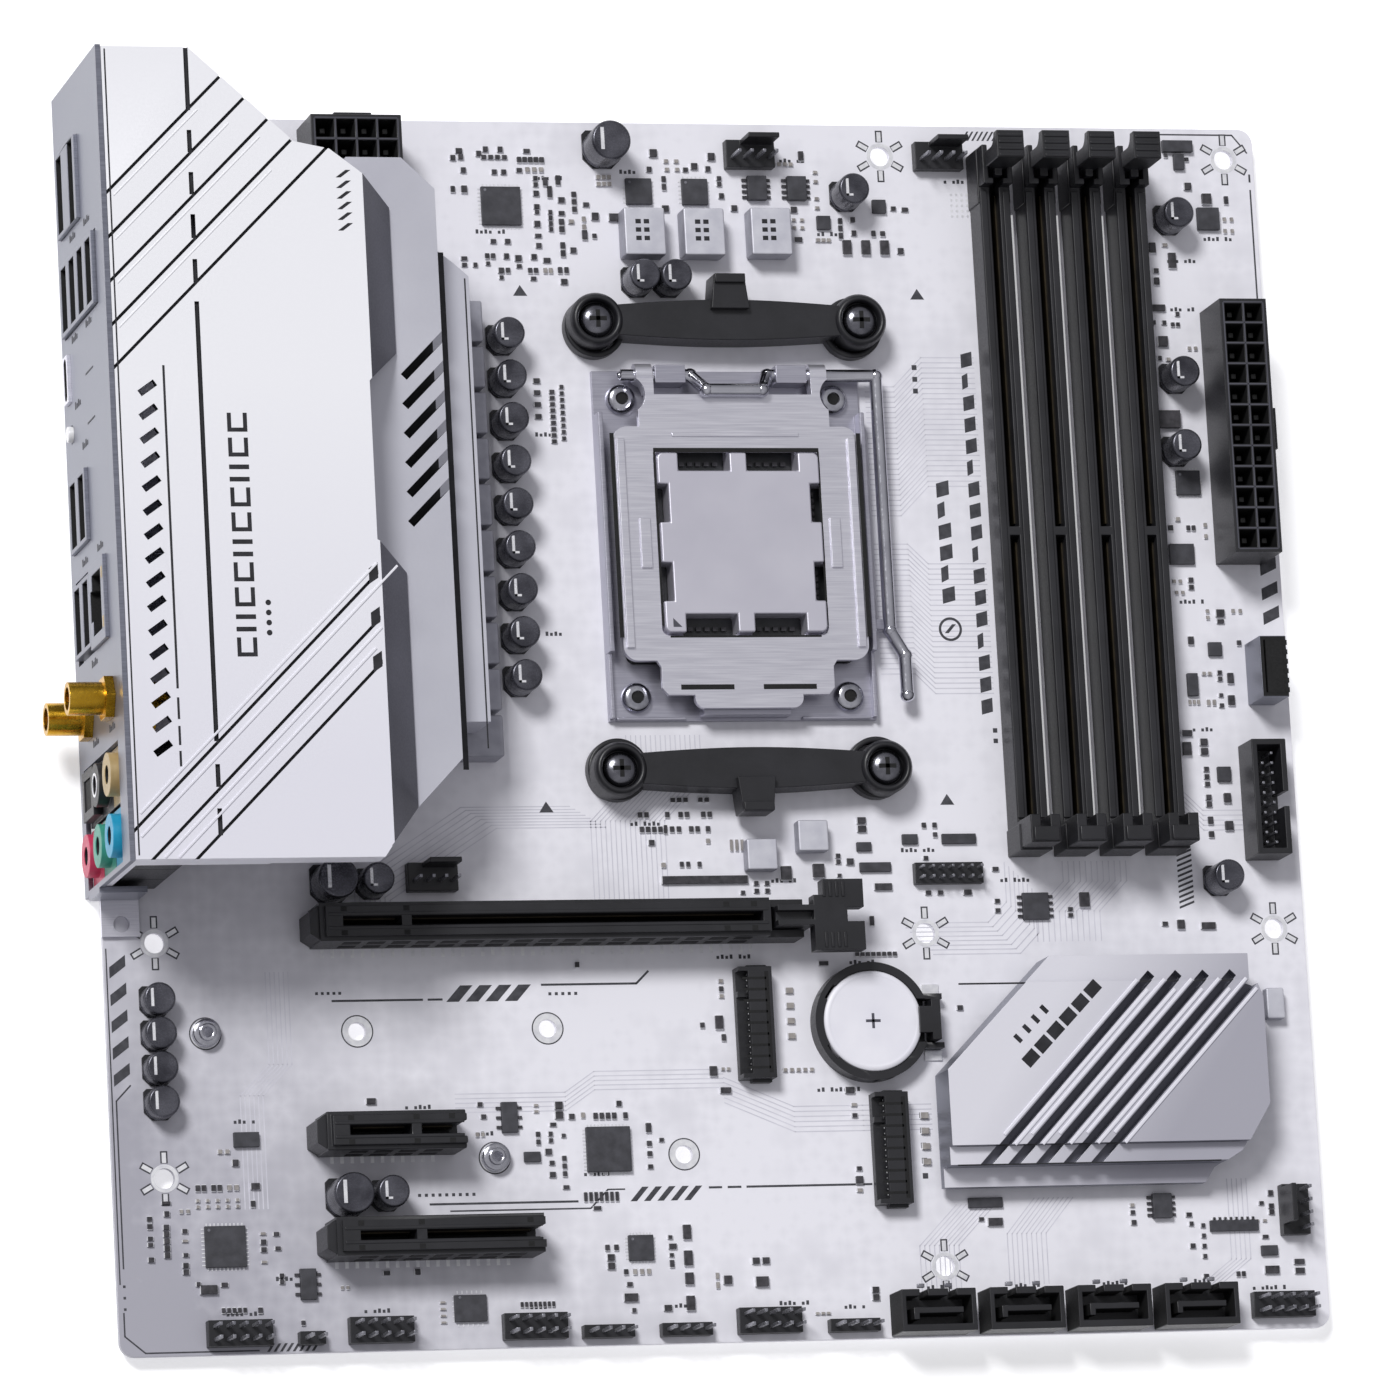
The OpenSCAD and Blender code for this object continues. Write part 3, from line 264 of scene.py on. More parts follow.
class Look(Enum):
    """The finishes this board is made of."""

    # white solder mask over glass epoxy: satin, faintly lavender, copper just visible, with a painted gradient of
    # light darker towards low X and low Y
    MASK = MaskedBoard(
        "solder_mask_over_copper", "#eeedf4", "#aaa9b3", 0.45, mottle_mm=30, grain_mm=0.9, bump_mm=0.004, coat=0.1
    )
    # mask over a raised trace: a shade darker than the rest
    TRACE = Finish("masked_copper_trace", "#dad9e2", "#cccbd5", 0.4, mottle_mm=6, bump_mm=0.003)
    # screen-printed ink: flat, dark grey, slightly uneven
    INK = Finish("screen_printed_ink", "#4a4a50", "#333339", 0.62, mottle_mm=1.5, grain_mm=0.3, bump_mm=0.004)
    # hot-air-levelled tin on pads and rings: bright, slightly lumpy
    TIN = Finish(
        "levelled_tin_pads", "#f6f6f8", "#e2e2e8", 0.35, metallic=0.35, mottle_mm=1.2, grain_mm=0.8, bump_mm=0.02
    )
    # glass-filled nylon, spark-eroded mould: charcoal with a fine even grain
    NYLON = Finish("moulded_black_nylon", "#26262a", "#1c1c1f", 0.4, mottle_mm=9, grain_mm=0.35, bump_mm=0.012)
    # painted shade: the same nylon made near black where light hardly reaches, in plug cells and grooves and as dark
    # strips in other hollows
    RECESS = Finish("shadowed_nylon", "#0c0c0e", "#060607", 0.75, mottle_mm=4, grain_mm=0.4)
    # tin-plated cold-rolled sheet for the rear panel: cool grey, rolled along the panel, its grey darkened as painted
    # shade for faces turned away from the light
    PANEL = BrushedSheet(
        "plated_panel_sheet", "#898b97", "#797b87", 0.36, metallic=0.6, grain_mm=0.25, brushed=30, bump_mm=0.003
    )
    # stamped stainless steel: cool grey with lines along the strip
    STEEL = BrushedSheet(
        "stamped_stainless_steel", "#e8e7ef", "#dbdae4", 0.34, metallic=0.8, grain_mm=0.22, brushed=40, bump_mm=0.002
    )
    # the socket's base frame, ground a shade darker
    BASE_STEEL = BrushedSheet(
        "ground_base_steel", "#bdbcc7", "#aeadba", 0.36, metallic=0.75, grain_mm=0.22, brushed=40, bump_mm=0.002
    )
    # nickel-plated copper lid, blasted: even and silky
    NICKEL = Finish(
        "blasted_nickel_lid", "#dcdae4", "#d3d1dc", 0.42, metallic=0.7, mottle_mm=14, grain_mm=0.2, bump_mm=0.003
    )
    # rolled steel of the coin cell
    CELL = Finish(
        "coin_cell_steel", "#f0eff6", "#e6e5ee", 0.42, metallic=0.0, mottle_mm=10, grain_mm=0.3, bump_mm=0.002
    )
    # drawn, polished steel wire
    WIRE = Finish(
        "polished_steel_wire", "#d6d6dd", "#bfbfc8", 0.14, metallic=1.0, mottle_mm=8, grain_mm=0.5, bump_mm=0.001
    )
    # zinc-plated turned screws
    SCREW = Finish(
        "zinc_plated_screw", "#cfcfd6", "#a2a2ab", 0.2, metallic=1.0, mottle_mm=2.5, grain_mm=0.4, bump_mm=0.004
    )
    # dark plated screws of the cooler brackets
    DARK_SCREW = Finish(
        "dark_plated_screw", "#8c8c93", "#6a6a71", 0.22, metallic=1.0, mottle_mm=2.5, grain_mm=0.4, bump_mm=0.004
    )
    # contacts deep in a groove, their gold painted dark as painted shade
    DEEP_GOLD = Finish(
        "shaded_contact_plating", "#3a3222", "#241f15", 0.5, metallic=0.6, mottle_mm=4, grain_mm=0.5, bump_mm=0.003
    )
    # solder mask between two close slots, made to glow: painted light in the deep gaps, which would lie in shade
    GLOWING_MASK = Finish(
        "glowing_solder_mask", "#e2e1e9", "#d3d2dc", 0.45, mottle_mm=30, grain_mm=0.9, bump_mm=0.004, glow=0.42
    )
    # satin heatsink face with a painted gradient of light, bright towards the processor and darker towards the corner
    GRADED = GradedSheet(
        "graded_heatsink_coat", "#ecebf3", "#b4b3be", 0.38, metallic=0.3, grain_mm=0.5, bump_mm=0.006
    )
    # bright tin on header pins
    PIN = Finish(
        "tinned_header_pin", "#a5a5ac", "#7c7c84", 0.3, metallic=0.7, mottle_mm=4, grain_mm=0.5, bump_mm=0.003
    )
    # flash gold over nickel
    GOLD = Finish(
        "gold_flash_plating", "#dcae3a", "#b88a22", 0.26, metallic=1.0, mottle_mm=4, grain_mm=0.5, bump_mm=0.003
    )
    # powder-coated aluminium: silver white with a fine orange peel, and a painted gradient of light, lighter at high
    # Y and darker towards low Y
    COAT = GradedSheet(
        "silver_white_powder_coat", "#fbfbff", "#ecebf4", 0.38, metallic=0.15, grain_mm=0.5, bump_mm=0.006,
        coat=0.15, start_mm=(20, 170), run_mm=(0, -210),
    )
    # the same metal on the heatsinks, a shade greyer
    SINK = Finish(
        "silver_heatsink_coat", "#d6d6df", "#c8c8d2", 0.36, metallic=0.4, mottle_mm=30, grain_mm=0.5, bump_mm=0.006
    )
    # the same aluminium in a darker grey; on the plugs it is laid as a painted highlight along the cell rims
    GREY_COAT = Finish(
        "darker_grey_aluminium", "#65656f", "#56565f", 0.38, metallic=0.5, mottle_mm=20, grain_mm=0.4, bump_mm=0.006
    )
    # milled groove: black anodise left in the cut; on the walls of the cover's vents it is painted shade
    GROOVE = Finish("dark_milled_groove", "#2e2e33", "#1d1d21", 0.5, metallic=0.2, mottle_mm=3, grain_mm=0.4)
    # moulded epoxy chip body: near black, matte
    EPOXY = Finish("moulded_epoxy", "#45454b", "#343439", 0.55, mottle_mm=2, grain_mm=0.18, bump_mm=0.006)
    # pressed metal inductors with a satin plate
    FERRITE = Finish(
        "pressed_metal_inductor", "#aeaeb8", "#9c9ca7", 0.5, metallic=0.2, mottle_mm=3, grain_mm=0.25, bump_mm=0.012
    )
    # lighter plated inductor cans
    PALE_CAN = Finish(
        "plated_inductor_can", "#d8d8e0", "#c9c9d3", 0.4, metallic=0.3, mottle_mm=3, grain_mm=0.25, bump_mm=0.008
    )
    # lacquered aluminium can: dark with a soft gloss
    CAN = Finish(
        "lacquered_capacitor_can", "#64646c", "#3c3c43", 0.27, metallic=0.65, mottle_mm=5, grain_mm=0.5, bump_mm=0.003
    )
    # printed top of a can: dark grey, mottled
    CAN_TOP = Finish("printed_can_top", "#8a8a92", "#5c5c64", 0.4, metallic=0.3, mottle_mm=0.9, grain_mm=0.3)
    # bare aluminium stripe
    STRIPE = Finish("bare_aluminium_stripe", "#f4f4f6", "#dcdce1", 0.3, metallic=0.3, mottle_mm=2)
    # fired ceramic and thick-film bodies: dark brown grey
    CERAMIC = Finish("fired_ceramic_body", "#47454a", "#2a292d", 0.45, mottle_mm=1.2, grain_mm=0.3, bump_mm=0.004)
    # pale ceramic capacitors and resistor ends
    PALE = Finish("pale_ceramic_body", "#a9a4a0", "#8b8684", 0.45, mottle_mm=1.2, grain_mm=0.3, bump_mm=0.004)
    # glass-epoxy chip carrier, near black
    CARRIER = Finish("dark_chip_carrier", "#26282b", "#17191b", 0.4, mottle_mm=2.5, grain_mm=0.4, coat=0.2)
    # acetal jack barrels, dyed through
    PINK = Finish("pink_acetal", "#cf3f63", "#b53356", 0.4, mottle_mm=3)
    GREEN = Finish("green_acetal", "#3f9a86", "#328775", 0.4, mottle_mm=3)
    BLUE = Finish("blue_acetal", "#1f9fc6", "#168bb0", 0.4, mottle_mm=3)
    TAN = Finish("tan_acetal", "#b8a072", "#a58d60", 0.4, mottle_mm=3)
    # glossy ABS push button
    BUTTON = Finish("white_abs_button", "#f0f0f0", "#e4e4e6", 0.3, mottle_mm=3, coat=0.3)
    # silicone thermal pad
    PAD = Finish("silicone_thermal_pad", "#8fa3b4", "#7b91a4", 0.75, mottle_mm=2, grain_mm=0.4, bump_mm=0.02)
    # black zinc lacquer on the stiffener
    LACQUER = Finish(
        "black_lacquered_steel", "#2a2a2d", "#1f1f22", 0.4, metallic=0.3, mottle_mm=15, grain_mm=0.5, bump_mm=0.006
    )
    # matte painted studio floor
    FLOOR = Finish("pale_studio_floor", "#fdfdfd", "#fafafb", 0.9, mottle_mm=400, grain_mm=4, bump_mm=0.01, glow=0.4)


# ---- shapes ----


class Shape:
    """A mesh in the making, in millimetres of the board's frame."""

    def __init__(self) -> None:
        """Starts empty."""
        self.bm = bmesh.new()
        self.accents: list[Look] = []

    @classmethod
    def of_node(cls, node: str) -> "Shape":
        """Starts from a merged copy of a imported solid, with its flat faces made whole.

        Args:
            node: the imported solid's name.

        Returns:
            The new shape.
        """
        made = cls()
        made.bm.from_mesh(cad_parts[node].data)
        bmesh.ops.scale(made.bm, vec=(1 / MM,) * 3, verts=made.bm.verts)
        bmesh.ops.remove_doubles(made.bm, verts=made.bm.verts, dist=0.0005)
        bmesh.ops.dissolve_limit(made.bm, angle_limit=math.radians(1.0), verts=made.bm.verts, edges=made.bm.edges)
        return made

    def box(self, low: Spot, high: Spot, turn: float = 0.0, lean: float = 0.0) -> "Shape":
        """Adds a block.

        Args:
            low: its lowest corner before turning.
            high: its highest corner before turning.
            turn: degrees about Z through its middle.
            lean: how far its top is pushed along Y, which makes a slanted stroke in plan.

        Returns:
            This shape.
        """
        a, b = Vector(low), Vector(high)
        size = Matrix.Diagonal((*(b - a), 1.0))
        place = Matrix.Translation((a + b) / 2) @ Matrix.Rotation(math.radians(turn), 4, "Z") @ size
        made = bmesh.ops.create_cube(self.bm, size=1.0, matrix=place)["verts"]
        if lean:
            middle = (a.x + b.x) / 2
            for vert in made:
                vert.co.y += lean * (vert.co.x - middle) / (b.x - a.x)
        return self

    def rod(
        self, foot: Spot, radius: float, length: float, axis: str = "Z", sides: int = 32,
        far_radius: float | None = None
    ) -> "Shape":
        """Adds a closed cylinder or cone from foot along an axis.

        Args:
            foot: the middle of its first end.
            radius: its radius there.
            length: how far it runs along the axis.
            axis: X, Y or Z.
            sides: how many flats approximate the circle.
            far_radius: the radius at the far end, if it differs.

        Returns:
            This shape.
        """
        turns = {
            "X": Matrix.Rotation(math.pi / 2, 4, "Y"), "Y": Matrix.Rotation(-math.pi / 2, 4, "X"),
            "Z": Matrix.Identity(4)
        }
        place = Matrix.Translation(foot) @ turns[axis] @ Matrix.Translation((0, 0, length / 2))
        bmesh.ops.create_cone(
            self.bm, cap_ends=True, segments=sides, radius1=radius,
            radius2=radius if far_radius is None else far_radius, depth=length, matrix=place,
        )
        return self

    def ring(self, centre: Point, inner: float, outer: float, low: float, high: float, sides: int = 40) -> "Shape":
        """Adds a flat ring by spinning its section about Z.

        Args:
            centre: the ring's middle in plan.
            inner: inner radius.
            outer: outer radius.
            low: lower height.
            high: upper height.
            sides: steps in the turn.

        Returns:
            This shape.
        """
        corners = [(inner, low), (outer, low), (outer, high), (inner, high)]
        verts = [self.bm.verts.new((centre[0] + r, centre[1], z)) for r, z in corners]
        edges = [self.bm.edges.new((verts[i], verts[(i + 1) % 4])) for i in range(4)]
        bmesh.ops.spin(
            self.bm, geom=verts + edges, cent=(*centre, 0), axis=(0, 0, 1), angle=math.tau, steps=sides,
            use_merge=True, use_duplicate=False,
        )
        return self

    def turned(self, centre: Spot, profile: list[Point], axis: str = "Z", sides: int = 32) -> "Shape":
        """Adds a lathe-turned solid.

        Args:
            centre: the point the profile is measured from.
            profile: radius and height pairs that start and end on the axis.
            axis: X or Z, the way the heights run.
            sides: steps in the turn.

        Returns:
            This shape.
        """
        along = Vector((0, 0, 1)) if axis == "Z" else Vector((1, 0, 0))
        out = Vector((0, 1, 0))
        verts = [self.bm.verts.new(Vector(centre) + along * z + out * r) for r, z in profile]
        edges = [self.bm.edges.new(pair) for pair in zip(verts, verts[1:])]
        bmesh.ops.spin(
            self.bm, geom=verts + edges, cent=centre, axis=along, angle=math.tau, steps=sides,
            use_merge=True, use_duplicate=False,
        )
        bmesh.ops.remove_doubles(self.bm, verts=self.bm.verts, dist=0.0005)
        return self

    def prism(self, outline: list[Point], low: float, high: float) -> "Shape":
        """Adds an outline raised from one height to another.

        Args:
            outline: its corners in plan.
            low: lower height.
            high: upper height.

        Returns:
            This shape.
        """
        face = self.bm.faces.new([self.bm.verts.new((x, y, low)) for x, y in outline])
        raised = bmesh.ops.extrude_face_region(self.bm, geom=[face], use_keep_orig=True)
        tops = [g for g in raised["geom"] if isinstance(g, bmesh.types.BMVert)]
        bmesh.ops.translate(self.bm, vec=(0, 0, high - low), verts=tops)
        return self

    def line(self, points: list[Point], width: float, low: float, high: float) -> "Shape":
        """Adds a flat stroke along a run of points, one block for each stretch.

        Args:
            points: the stroke's corners in plan.
            width: the stroke's width.
            low: lower height.
            high: upper height.

        Returns:
            This shape.
        """
        for (ax, ay), (bx, by) in zip(points, points[1:]):
            half = math.hypot(bx - ax, by - ay) / 2 + width * 0.2
            mx, my = (ax + bx) / 2, (ay + by) / 2
            self.box(
                (mx - half, my - width / 2, low), (mx + half, my + width / 2, high),
                turn=math.degrees(math.atan2(by - ay, bx - ax))
            )
        return self

    def swell(self, depth: float) -> "Shape":
        """Pushes every face out along its normal.

        Args:
            depth: how far each face moves.

        Returns:
            This shape.
        """
        bmesh.ops.recalc_face_normals(self.bm, faces=self.bm.faces)
        self.bm.normal_update()
        for vert, normal in [(vert, vert.normal.copy()) for vert in self.bm.verts]:
            vert.co += normal * depth
        return self

    def bevel(self, width: float, segments: int = 2, angle: float = 28.0) -> "Shape":
        """Rounds every edge sharper than an angle.

        Args:
            width: the bevel's width.
            segments: how many facets it gets.
            angle: degrees from flat past which an edge counts as sharp.

        Returns:
            This shape.
        """
        bmesh.ops.recalc_face_normals(self.bm, faces=self.bm.faces)
        edges = [e for e in self.bm.edges if len(e.link_faces) == 2 and e.calc_face_angle(0.0) > math.radians(angle)]
        bmesh.ops.bevel(
            self.bm, geom=edges, offset=width, offset_type="OFFSET", affect="EDGES", segments=segments,
            profile=0.5, material=-1, clamp_overlap=True,
        )
        return self

    def paint(self, look: "Look", where: Callable[[Vector, Vector], bool]) -> "Shape":
        """Gives the faces that pass a test a finish of their own.

        Args:
            look: their finish.
            where: takes a face's middle in millimetres and its normal, and says whether it is one of them.

        Returns:
            This shape.
        """
        self.bm.normal_update()
        self.accents.append(look)
        for face in self.bm.faces:
            if where(face.calc_center_median(), face.normal):
                face.material_index = len(self.accents)
        return self

    def mesh(self, name: str) -> bpy.types.Mesh:
        """Turns the shape into a smooth-shaded mesh in metres."""
        bmesh.ops.recalc_face_normals(self.bm, faces=self.bm.faces)
        bmesh.ops.scale(self.bm, vec=(MM,) * 3, verts=self.bm.verts)
        mesh = bpy.data.meshes.new(name)
        self.bm.to_mesh(mesh)
        self.bm.free()
        mesh.shade_smooth()
        return mesh

    def piece(
        self, name: str, look: Look, slot: str, body: str = BOARD, replaces: tuple[str, ...] = ()
    ) -> bpy.types.Object:
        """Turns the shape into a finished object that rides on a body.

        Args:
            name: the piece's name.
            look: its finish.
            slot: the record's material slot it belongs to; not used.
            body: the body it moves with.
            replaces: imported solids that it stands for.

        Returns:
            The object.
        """
        mesh = self.mesh(name)
        mesh.set_sharp_from_angle(angle=math.radians(52))
        for finish in (look, *self.accents):
            mesh.materials.append(finish.value.material())
        made = bpy.data.objects.new(name, mesh)
        bpy.context.scene.collection.objects.link(made)
        flatten = made.modifiers.new("weighted_normals", "WEIGHTED_NORMAL")
        flatten.keep_sharp, flatten.weight = True, 90
        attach(made, body)
        if replaces:
            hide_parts(*replaces)
        log.info("%s: %d faces", name, len(mesh.polygons))
        return made

    def stand_in(self, node: str, look: Look, slot: str, body: str = BOARD) -> bpy.types.Object:
        """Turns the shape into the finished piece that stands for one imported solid.

        Args:
            node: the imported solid's name.
            look: its finish.
            slot: the record's material slot.
            body: the body it moves with.

        Returns:
            The object.
        """
        return self.piece(node + "_finished", look, slot, body, (node,))


def middle(node: str) -> Vector:
    """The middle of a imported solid's box, in millimetres."""
    low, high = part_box(node)
    return (low + high) / 2 / MM


def eased(node: str, look: Look, slot: str, edge: float, body: str = BOARD) -> bpy.types.Object:
    """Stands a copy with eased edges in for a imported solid.

    Args:
        node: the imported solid's name.
        look: its finish.
        slot: the record's material slot.
        edge: the width of the eased edge.
        body: the body it moves with.

    Returns:
        The new piece.
    """
    return Shape.of_node(node).bevel(edge).stand_in(node, look, slot, body)


def within(value: float, low: float, high: float) -> bool:
    """Says whether a value lies between two others.

    Args:
        value: the value.
        low: the lower bound, which doesn't count.
        high: the upper bound, which doesn't count.

    Returns:
        Whether it lies between them.
    """
    return low < value < high


# ---- the board and what is printed on it ----


@dataclass
class PrintedBoard:
    """The circuit board with its pads, traces and screen print, in millimetres."""

    hole_r: float = 1.98
    ray_in: float = 3.0
    ray_out: float = 5.0
    ink_h: float = 0.03
    left: float = -10.16
    side: float = 243.84
    screw_holes: list[Point] = field(
        default_factory=lambda: [
            (0, 0), (0, -45.72), (154.94, 0), (154.94, 157.48), (154.94, -66.04), (227.33, 0), (227.33, 157.48)
        ]
    )
    card_holes: list[Point] = field(
        default_factory=lambda: [(39.2, -17.8), (77.2, -17.8), (103.3, -43), (9.2, -17.8), (65.3, -43)]
    )

    def build(self) -> None:
        """Builds the board, then everything plated or printed on it."""
        eased("circuit_board", Look.MASK, "white_solder_mask", 0.12)
        self.pads()
        self.traces()
        self.print_marks()
        self.designators()

    def pads(self) -> None:
        """Lays a tin ring and a star of six rays round each chassis hole, and rings round the card holes."""
        tin, ink = Shape(), Shape()
        for x, y in self.screw_holes:
            tin.ring((x, y), self.hole_r, self.hole_r + 0.75, TOP, TOP + 0.04)
            for step in range(6):
                angle = math.radians(90 + 60 * step)
                for shape, half, start, end, high in (
                    (tin, 0.42, self.ray_in, self.ray_out, 0.045),
                    (ink, 0.72, self.ray_in - 0.1, self.ray_out + 0.3, 0.025)
                ):
                    mid = (start + end) / 2
                    cx, cy = x + mid * math.cos(angle), y + mid * math.sin(angle)
                    shape.box(
                        (cx - (end - start) / 2, cy - half, TOP), (cx + (end - start) / 2, cy + half, TOP + high),
                        turn=math.degrees(angle)
                    )
        for spot in self.card_holes:
            tin.ring(spot, 1.76, 2.95, TOP, TOP + 0.04)
            ink.ring(spot, 2.95, 3.2, TOP, TOP + self.ink_h)
        for index in range(44):
            x = 33 + 2 * index
            tin.box((x - 0.35, -3.4, TOP), (x + 0.35, -1.6, TOP + 0.05))
            tin.box((x - 0.35, 5.8, TOP), (x + 0.35, 7.2, TOP + 0.05))
        for y, last in ((-38.5, 11), (-58.9, 18)):
            for index in range(last):
                x = 33 + 2 * index
                tin.box((x - 0.35, y - 5.0, TOP), (x + 0.35, y - 3.6, TOP + 0.05))
        for row in range(5):
            for column in range(6):
                tin.rod((171.5 + 1.1 * (column - 2), 147.5 + 1.1 * (row - 2), TOP), 0.28, 0.04, sides=10)
        tin.piece("tin_pads", Look.TIN, "solder")
        ink.piece("pad_outlines", Look.INK, "white_solder_mask")

    def traces(self) -> None:
        """Lays bundles of masked traces: memory, card lanes and storage lanes."""
        lanes = Shape()

        def bundle(start: list[Point], count: int, step: Point, width: float = 0.22) -> None:
            """Lays equal lanes side by side.

            Args:
                start: the first lane's corners.
                count: how many lanes.
                step: from one lane to the next.
                width: each lane's width.
            """
            for index in range(count):
                lanes.line([(x + step[0] * index, y + step[1] * index) for x, y in start], width, TOP, TOP + 0.018)

        bundle([(149, 52), (156, 52), (160, 48), (172, 48)], 26, (0, 1.05))
        bundle([(149, 84), (155, 84), (161, 90), (172, 90)], 26, (0, 1.05))
        bundle([(96, 40), (96, 31), (88, 23), (88, 7)], 16, (1.0, 0))
        bundle([(40, 7), (40, 12), (62, 26), (84, 26)], 8, (1.0, -0.6))
        bundle([(112, -28), (126, -34), (140, -34), (154, -34)], 6, (0, -1.0))
        bundle([(58, -34), (80, -34), (86, -30), (112, -30)], 5, (0, 0.9))
        bundle([(150, 2), (168, 2), (172, 6), (172, 14)], 8, (0.9, -0.9))
        bundle([(178, -2), (178, 4), (184, 10), (184, 14)], 12, (1.2, 0))
        bundle([(20, -52), (20, -30), (26, -24), (26, -6)], 6, (-0.9, 0))
        bundle([(150, -72), (150, -62), (158, -54)], 9, (1.0, 0))
        bundle([(168, -70), (168, -60), (174, -53)], 9, (1.0, 0))
        bundle([(206, -72), (214, -66), (214, -50)], 5, (1.0, 0))
        bundle([(224, 20), (214, 20), (210, 24), (210, 70)], 5, (-0.0, 1.0))
        lanes.piece("masked_traces", Look.TRACE, "white_solder_mask")

    def print_marks(self) -> None:
        """Prints the borders, slanted bars, strokes, dots and arrowheads."""
        ink = Shape()
        low, high = TOP, TOP + self.ink_h

        def bars(x: float, y: float, count: int, step: float, size: Point, lean: float) -> None:
            """Prints a column of slanted bars.

            Args:
                x: their left edge.
                y: the first one's foot.
                count: how many.
                step: from one to the next.
                size: width and height.
                lean: how far each one slants.
            """
            for index in range(count):
                ink.box((x, y + step * index, low), (x + size[0], y + step * index + size[1], high), lean=lean)

        def strokes(x: float, y: float, count: int, step: float, width: float, tall: float, lean: float) -> None:
            """Prints a row of slanted strokes.

            Args:
                x: the first one's foot.
                y: the row's foot.
                count: how many.
                step: from one to the next.
                width: each stroke's width.
                tall: its height.
                lean: how far its top is pushed along X.
            """
            for index in range(count):
                foot = x + step * index
                outline = [(foot, y), (foot + width, y), (foot + width + lean, y + tall), (foot + lean, y + tall)]
                ink.prism(outline, low, high)

        def dots(x: float, y: float, count: int, step: Point, size: float) -> None:
            """Prints a row of square dots.

            Args:
                x: the first one's middle along X.
                y: the same along Y.
                count: how many.
                step: from one to the next.
                size: each dot's side.
            """
            for index in range(count):
                cx, cy = x + step[0] * index, y + step[1] * index
                ink.box((cx - size / 2, cy - size / 2, low), (cx + size / 2, cy + size / 2, high))

        def arrow(x: float, y: float, size: float) -> None:
            """Prints a solid arrowhead of a size round a point."""
            ink.prism([(x - size, y - size * 0.6), (x + size, y - size * 0.6), (x, y + size * 0.9)], low, high)

        bars(-9.1, -5.6, 1, 1, (3.2, 2.2), 2.4)
        bars(-9.1, -26.6, 4, 5.2, (3.2, 2.2), 2.4)
        ink.line([(-5.9, -27.6), (-8.8, -30.6), (-8.8, -63)], 0.3, low, high)
        ink.line([(-9.6, -1), (-9.6, -66)], 0.25, low, high)
        dots(-8.8, -66.4, 3, (0, -2.2), 0.5)
        ink.line([(-9.1, -71.5), (-9.1, -76), (-5.2, -79.3), (17, -79.3)], 0.3, low, high)
        strokes(18.5, -79.6, 8, 1.25, 0.55, 1.6, 1.1)
        ink.line([(34.5, -11.8), (52.5, -11.8)], 0.42, low, high)
        ink.line([(53.6, -11.8), (56.4, -11.8)], 0.42, low, high)
        strokes(57.2, -12.3, 4, 3.9, 2.5, 3.2, 2.9)
        ink.line([(76.4, -9.2), (95.5, -9.2), (98, -6.8)], 0.42, low, high)
        dots(31.5, -10.3, 5, (1.15, 0), 0.55)
        dots(78, -11, 5, (1.3, 0), 0.6)
        ink.line([(52, -51.8), (81.5, -51.8)], 0.42, low, high)
        ink.line([(56, -53.2), (84, -53.2), (87.6, -49.6), (91, -49.6)], 0.3, low, high)
        strokes(92, -52, 5, 2.7, 1.3, 2.8, 2.5)
        ink.line([(108, -49.6), (110.5, -49.6)], 0.42, low, high)
        ink.line([(111.8, -49.6), (114.4, -49.6)], 0.42, low, high)
        ink.line([(115.6, -49.6), (141, -49.6)], 0.42, low, high)
        dots(50, -50, 9, (1.35, 0), 0.6)
        for x, y in ((79.3, 129.3), (79.2, 25.7), (161, 129), (161, 26.5)):
            arrow(x, y, 1.45)
        dots(159.5, 114.2, 3, (0, -2.4), 1.0)
        dots(171.8, 40.5, 2, (0, -2.1), 0.9)
        strokes(172.2, 160.9, 7, 1.05, 0.4, 1.9, 1.2)
        for index in range(11):
            y = 4.2 + 1.05 * index
            ink.prism([(207.9, y), (211, y + 1.2), (211, y + 1.65), (207.9, y + 0.45)], low, high)
        for y in (71.6, 66.6, 61.6):
            ink.prism([(229.4, y), (232.8, y + 1.6), (232.8, y + 4.0), (229.4, y + 2.4)], low, high)
        ink.line([(214, 162.6), (229.4, 162.6), (232.4, 158.9)], 0.3, low, high)
        ink.line([(232.6, 154.4), (232.6, 152.9)], 0.4, low, high)
        ink.line([(232.6, 151.2), (232.6, 128.8)], 0.34, low, high)
        dots(152, -36.2, 5, (0, -3), 1.1)
        self.plain_band(ink)
        ink.piece("screen_print", Look.INK, "white_solder_mask")

    def plain_band(self, ink: Shape) -> None:
        """Prints plain bars and a ring between the socket and the memory, where a maker would print a name."""
        low, high = TOP, TOP + self.ink_h
        ink.ring((163.8, 61), 1.9, 2.4, low, high)
        ink.prism([(162.6, 60.2), (163.4, 60.2), (165, 62), (164.2, 62)], low, high)
        for index, tall in enumerate((2.6, 1.5, 2.6, 2.6, 1.5, 2.6)):
            y = 66.5 + index * 4.3
            ink.box((162.6, y, low), (162.6 + tall, y + 2.9, high), lean=0.7)
        for index in range(17):
            y = 44 + index * 4.4
            tall = 1.2 if index % 4 == 3 else 2.3
            ink.box((169.3, y, low), (169.3 + tall, y + 2.8, high), lean=0.6)

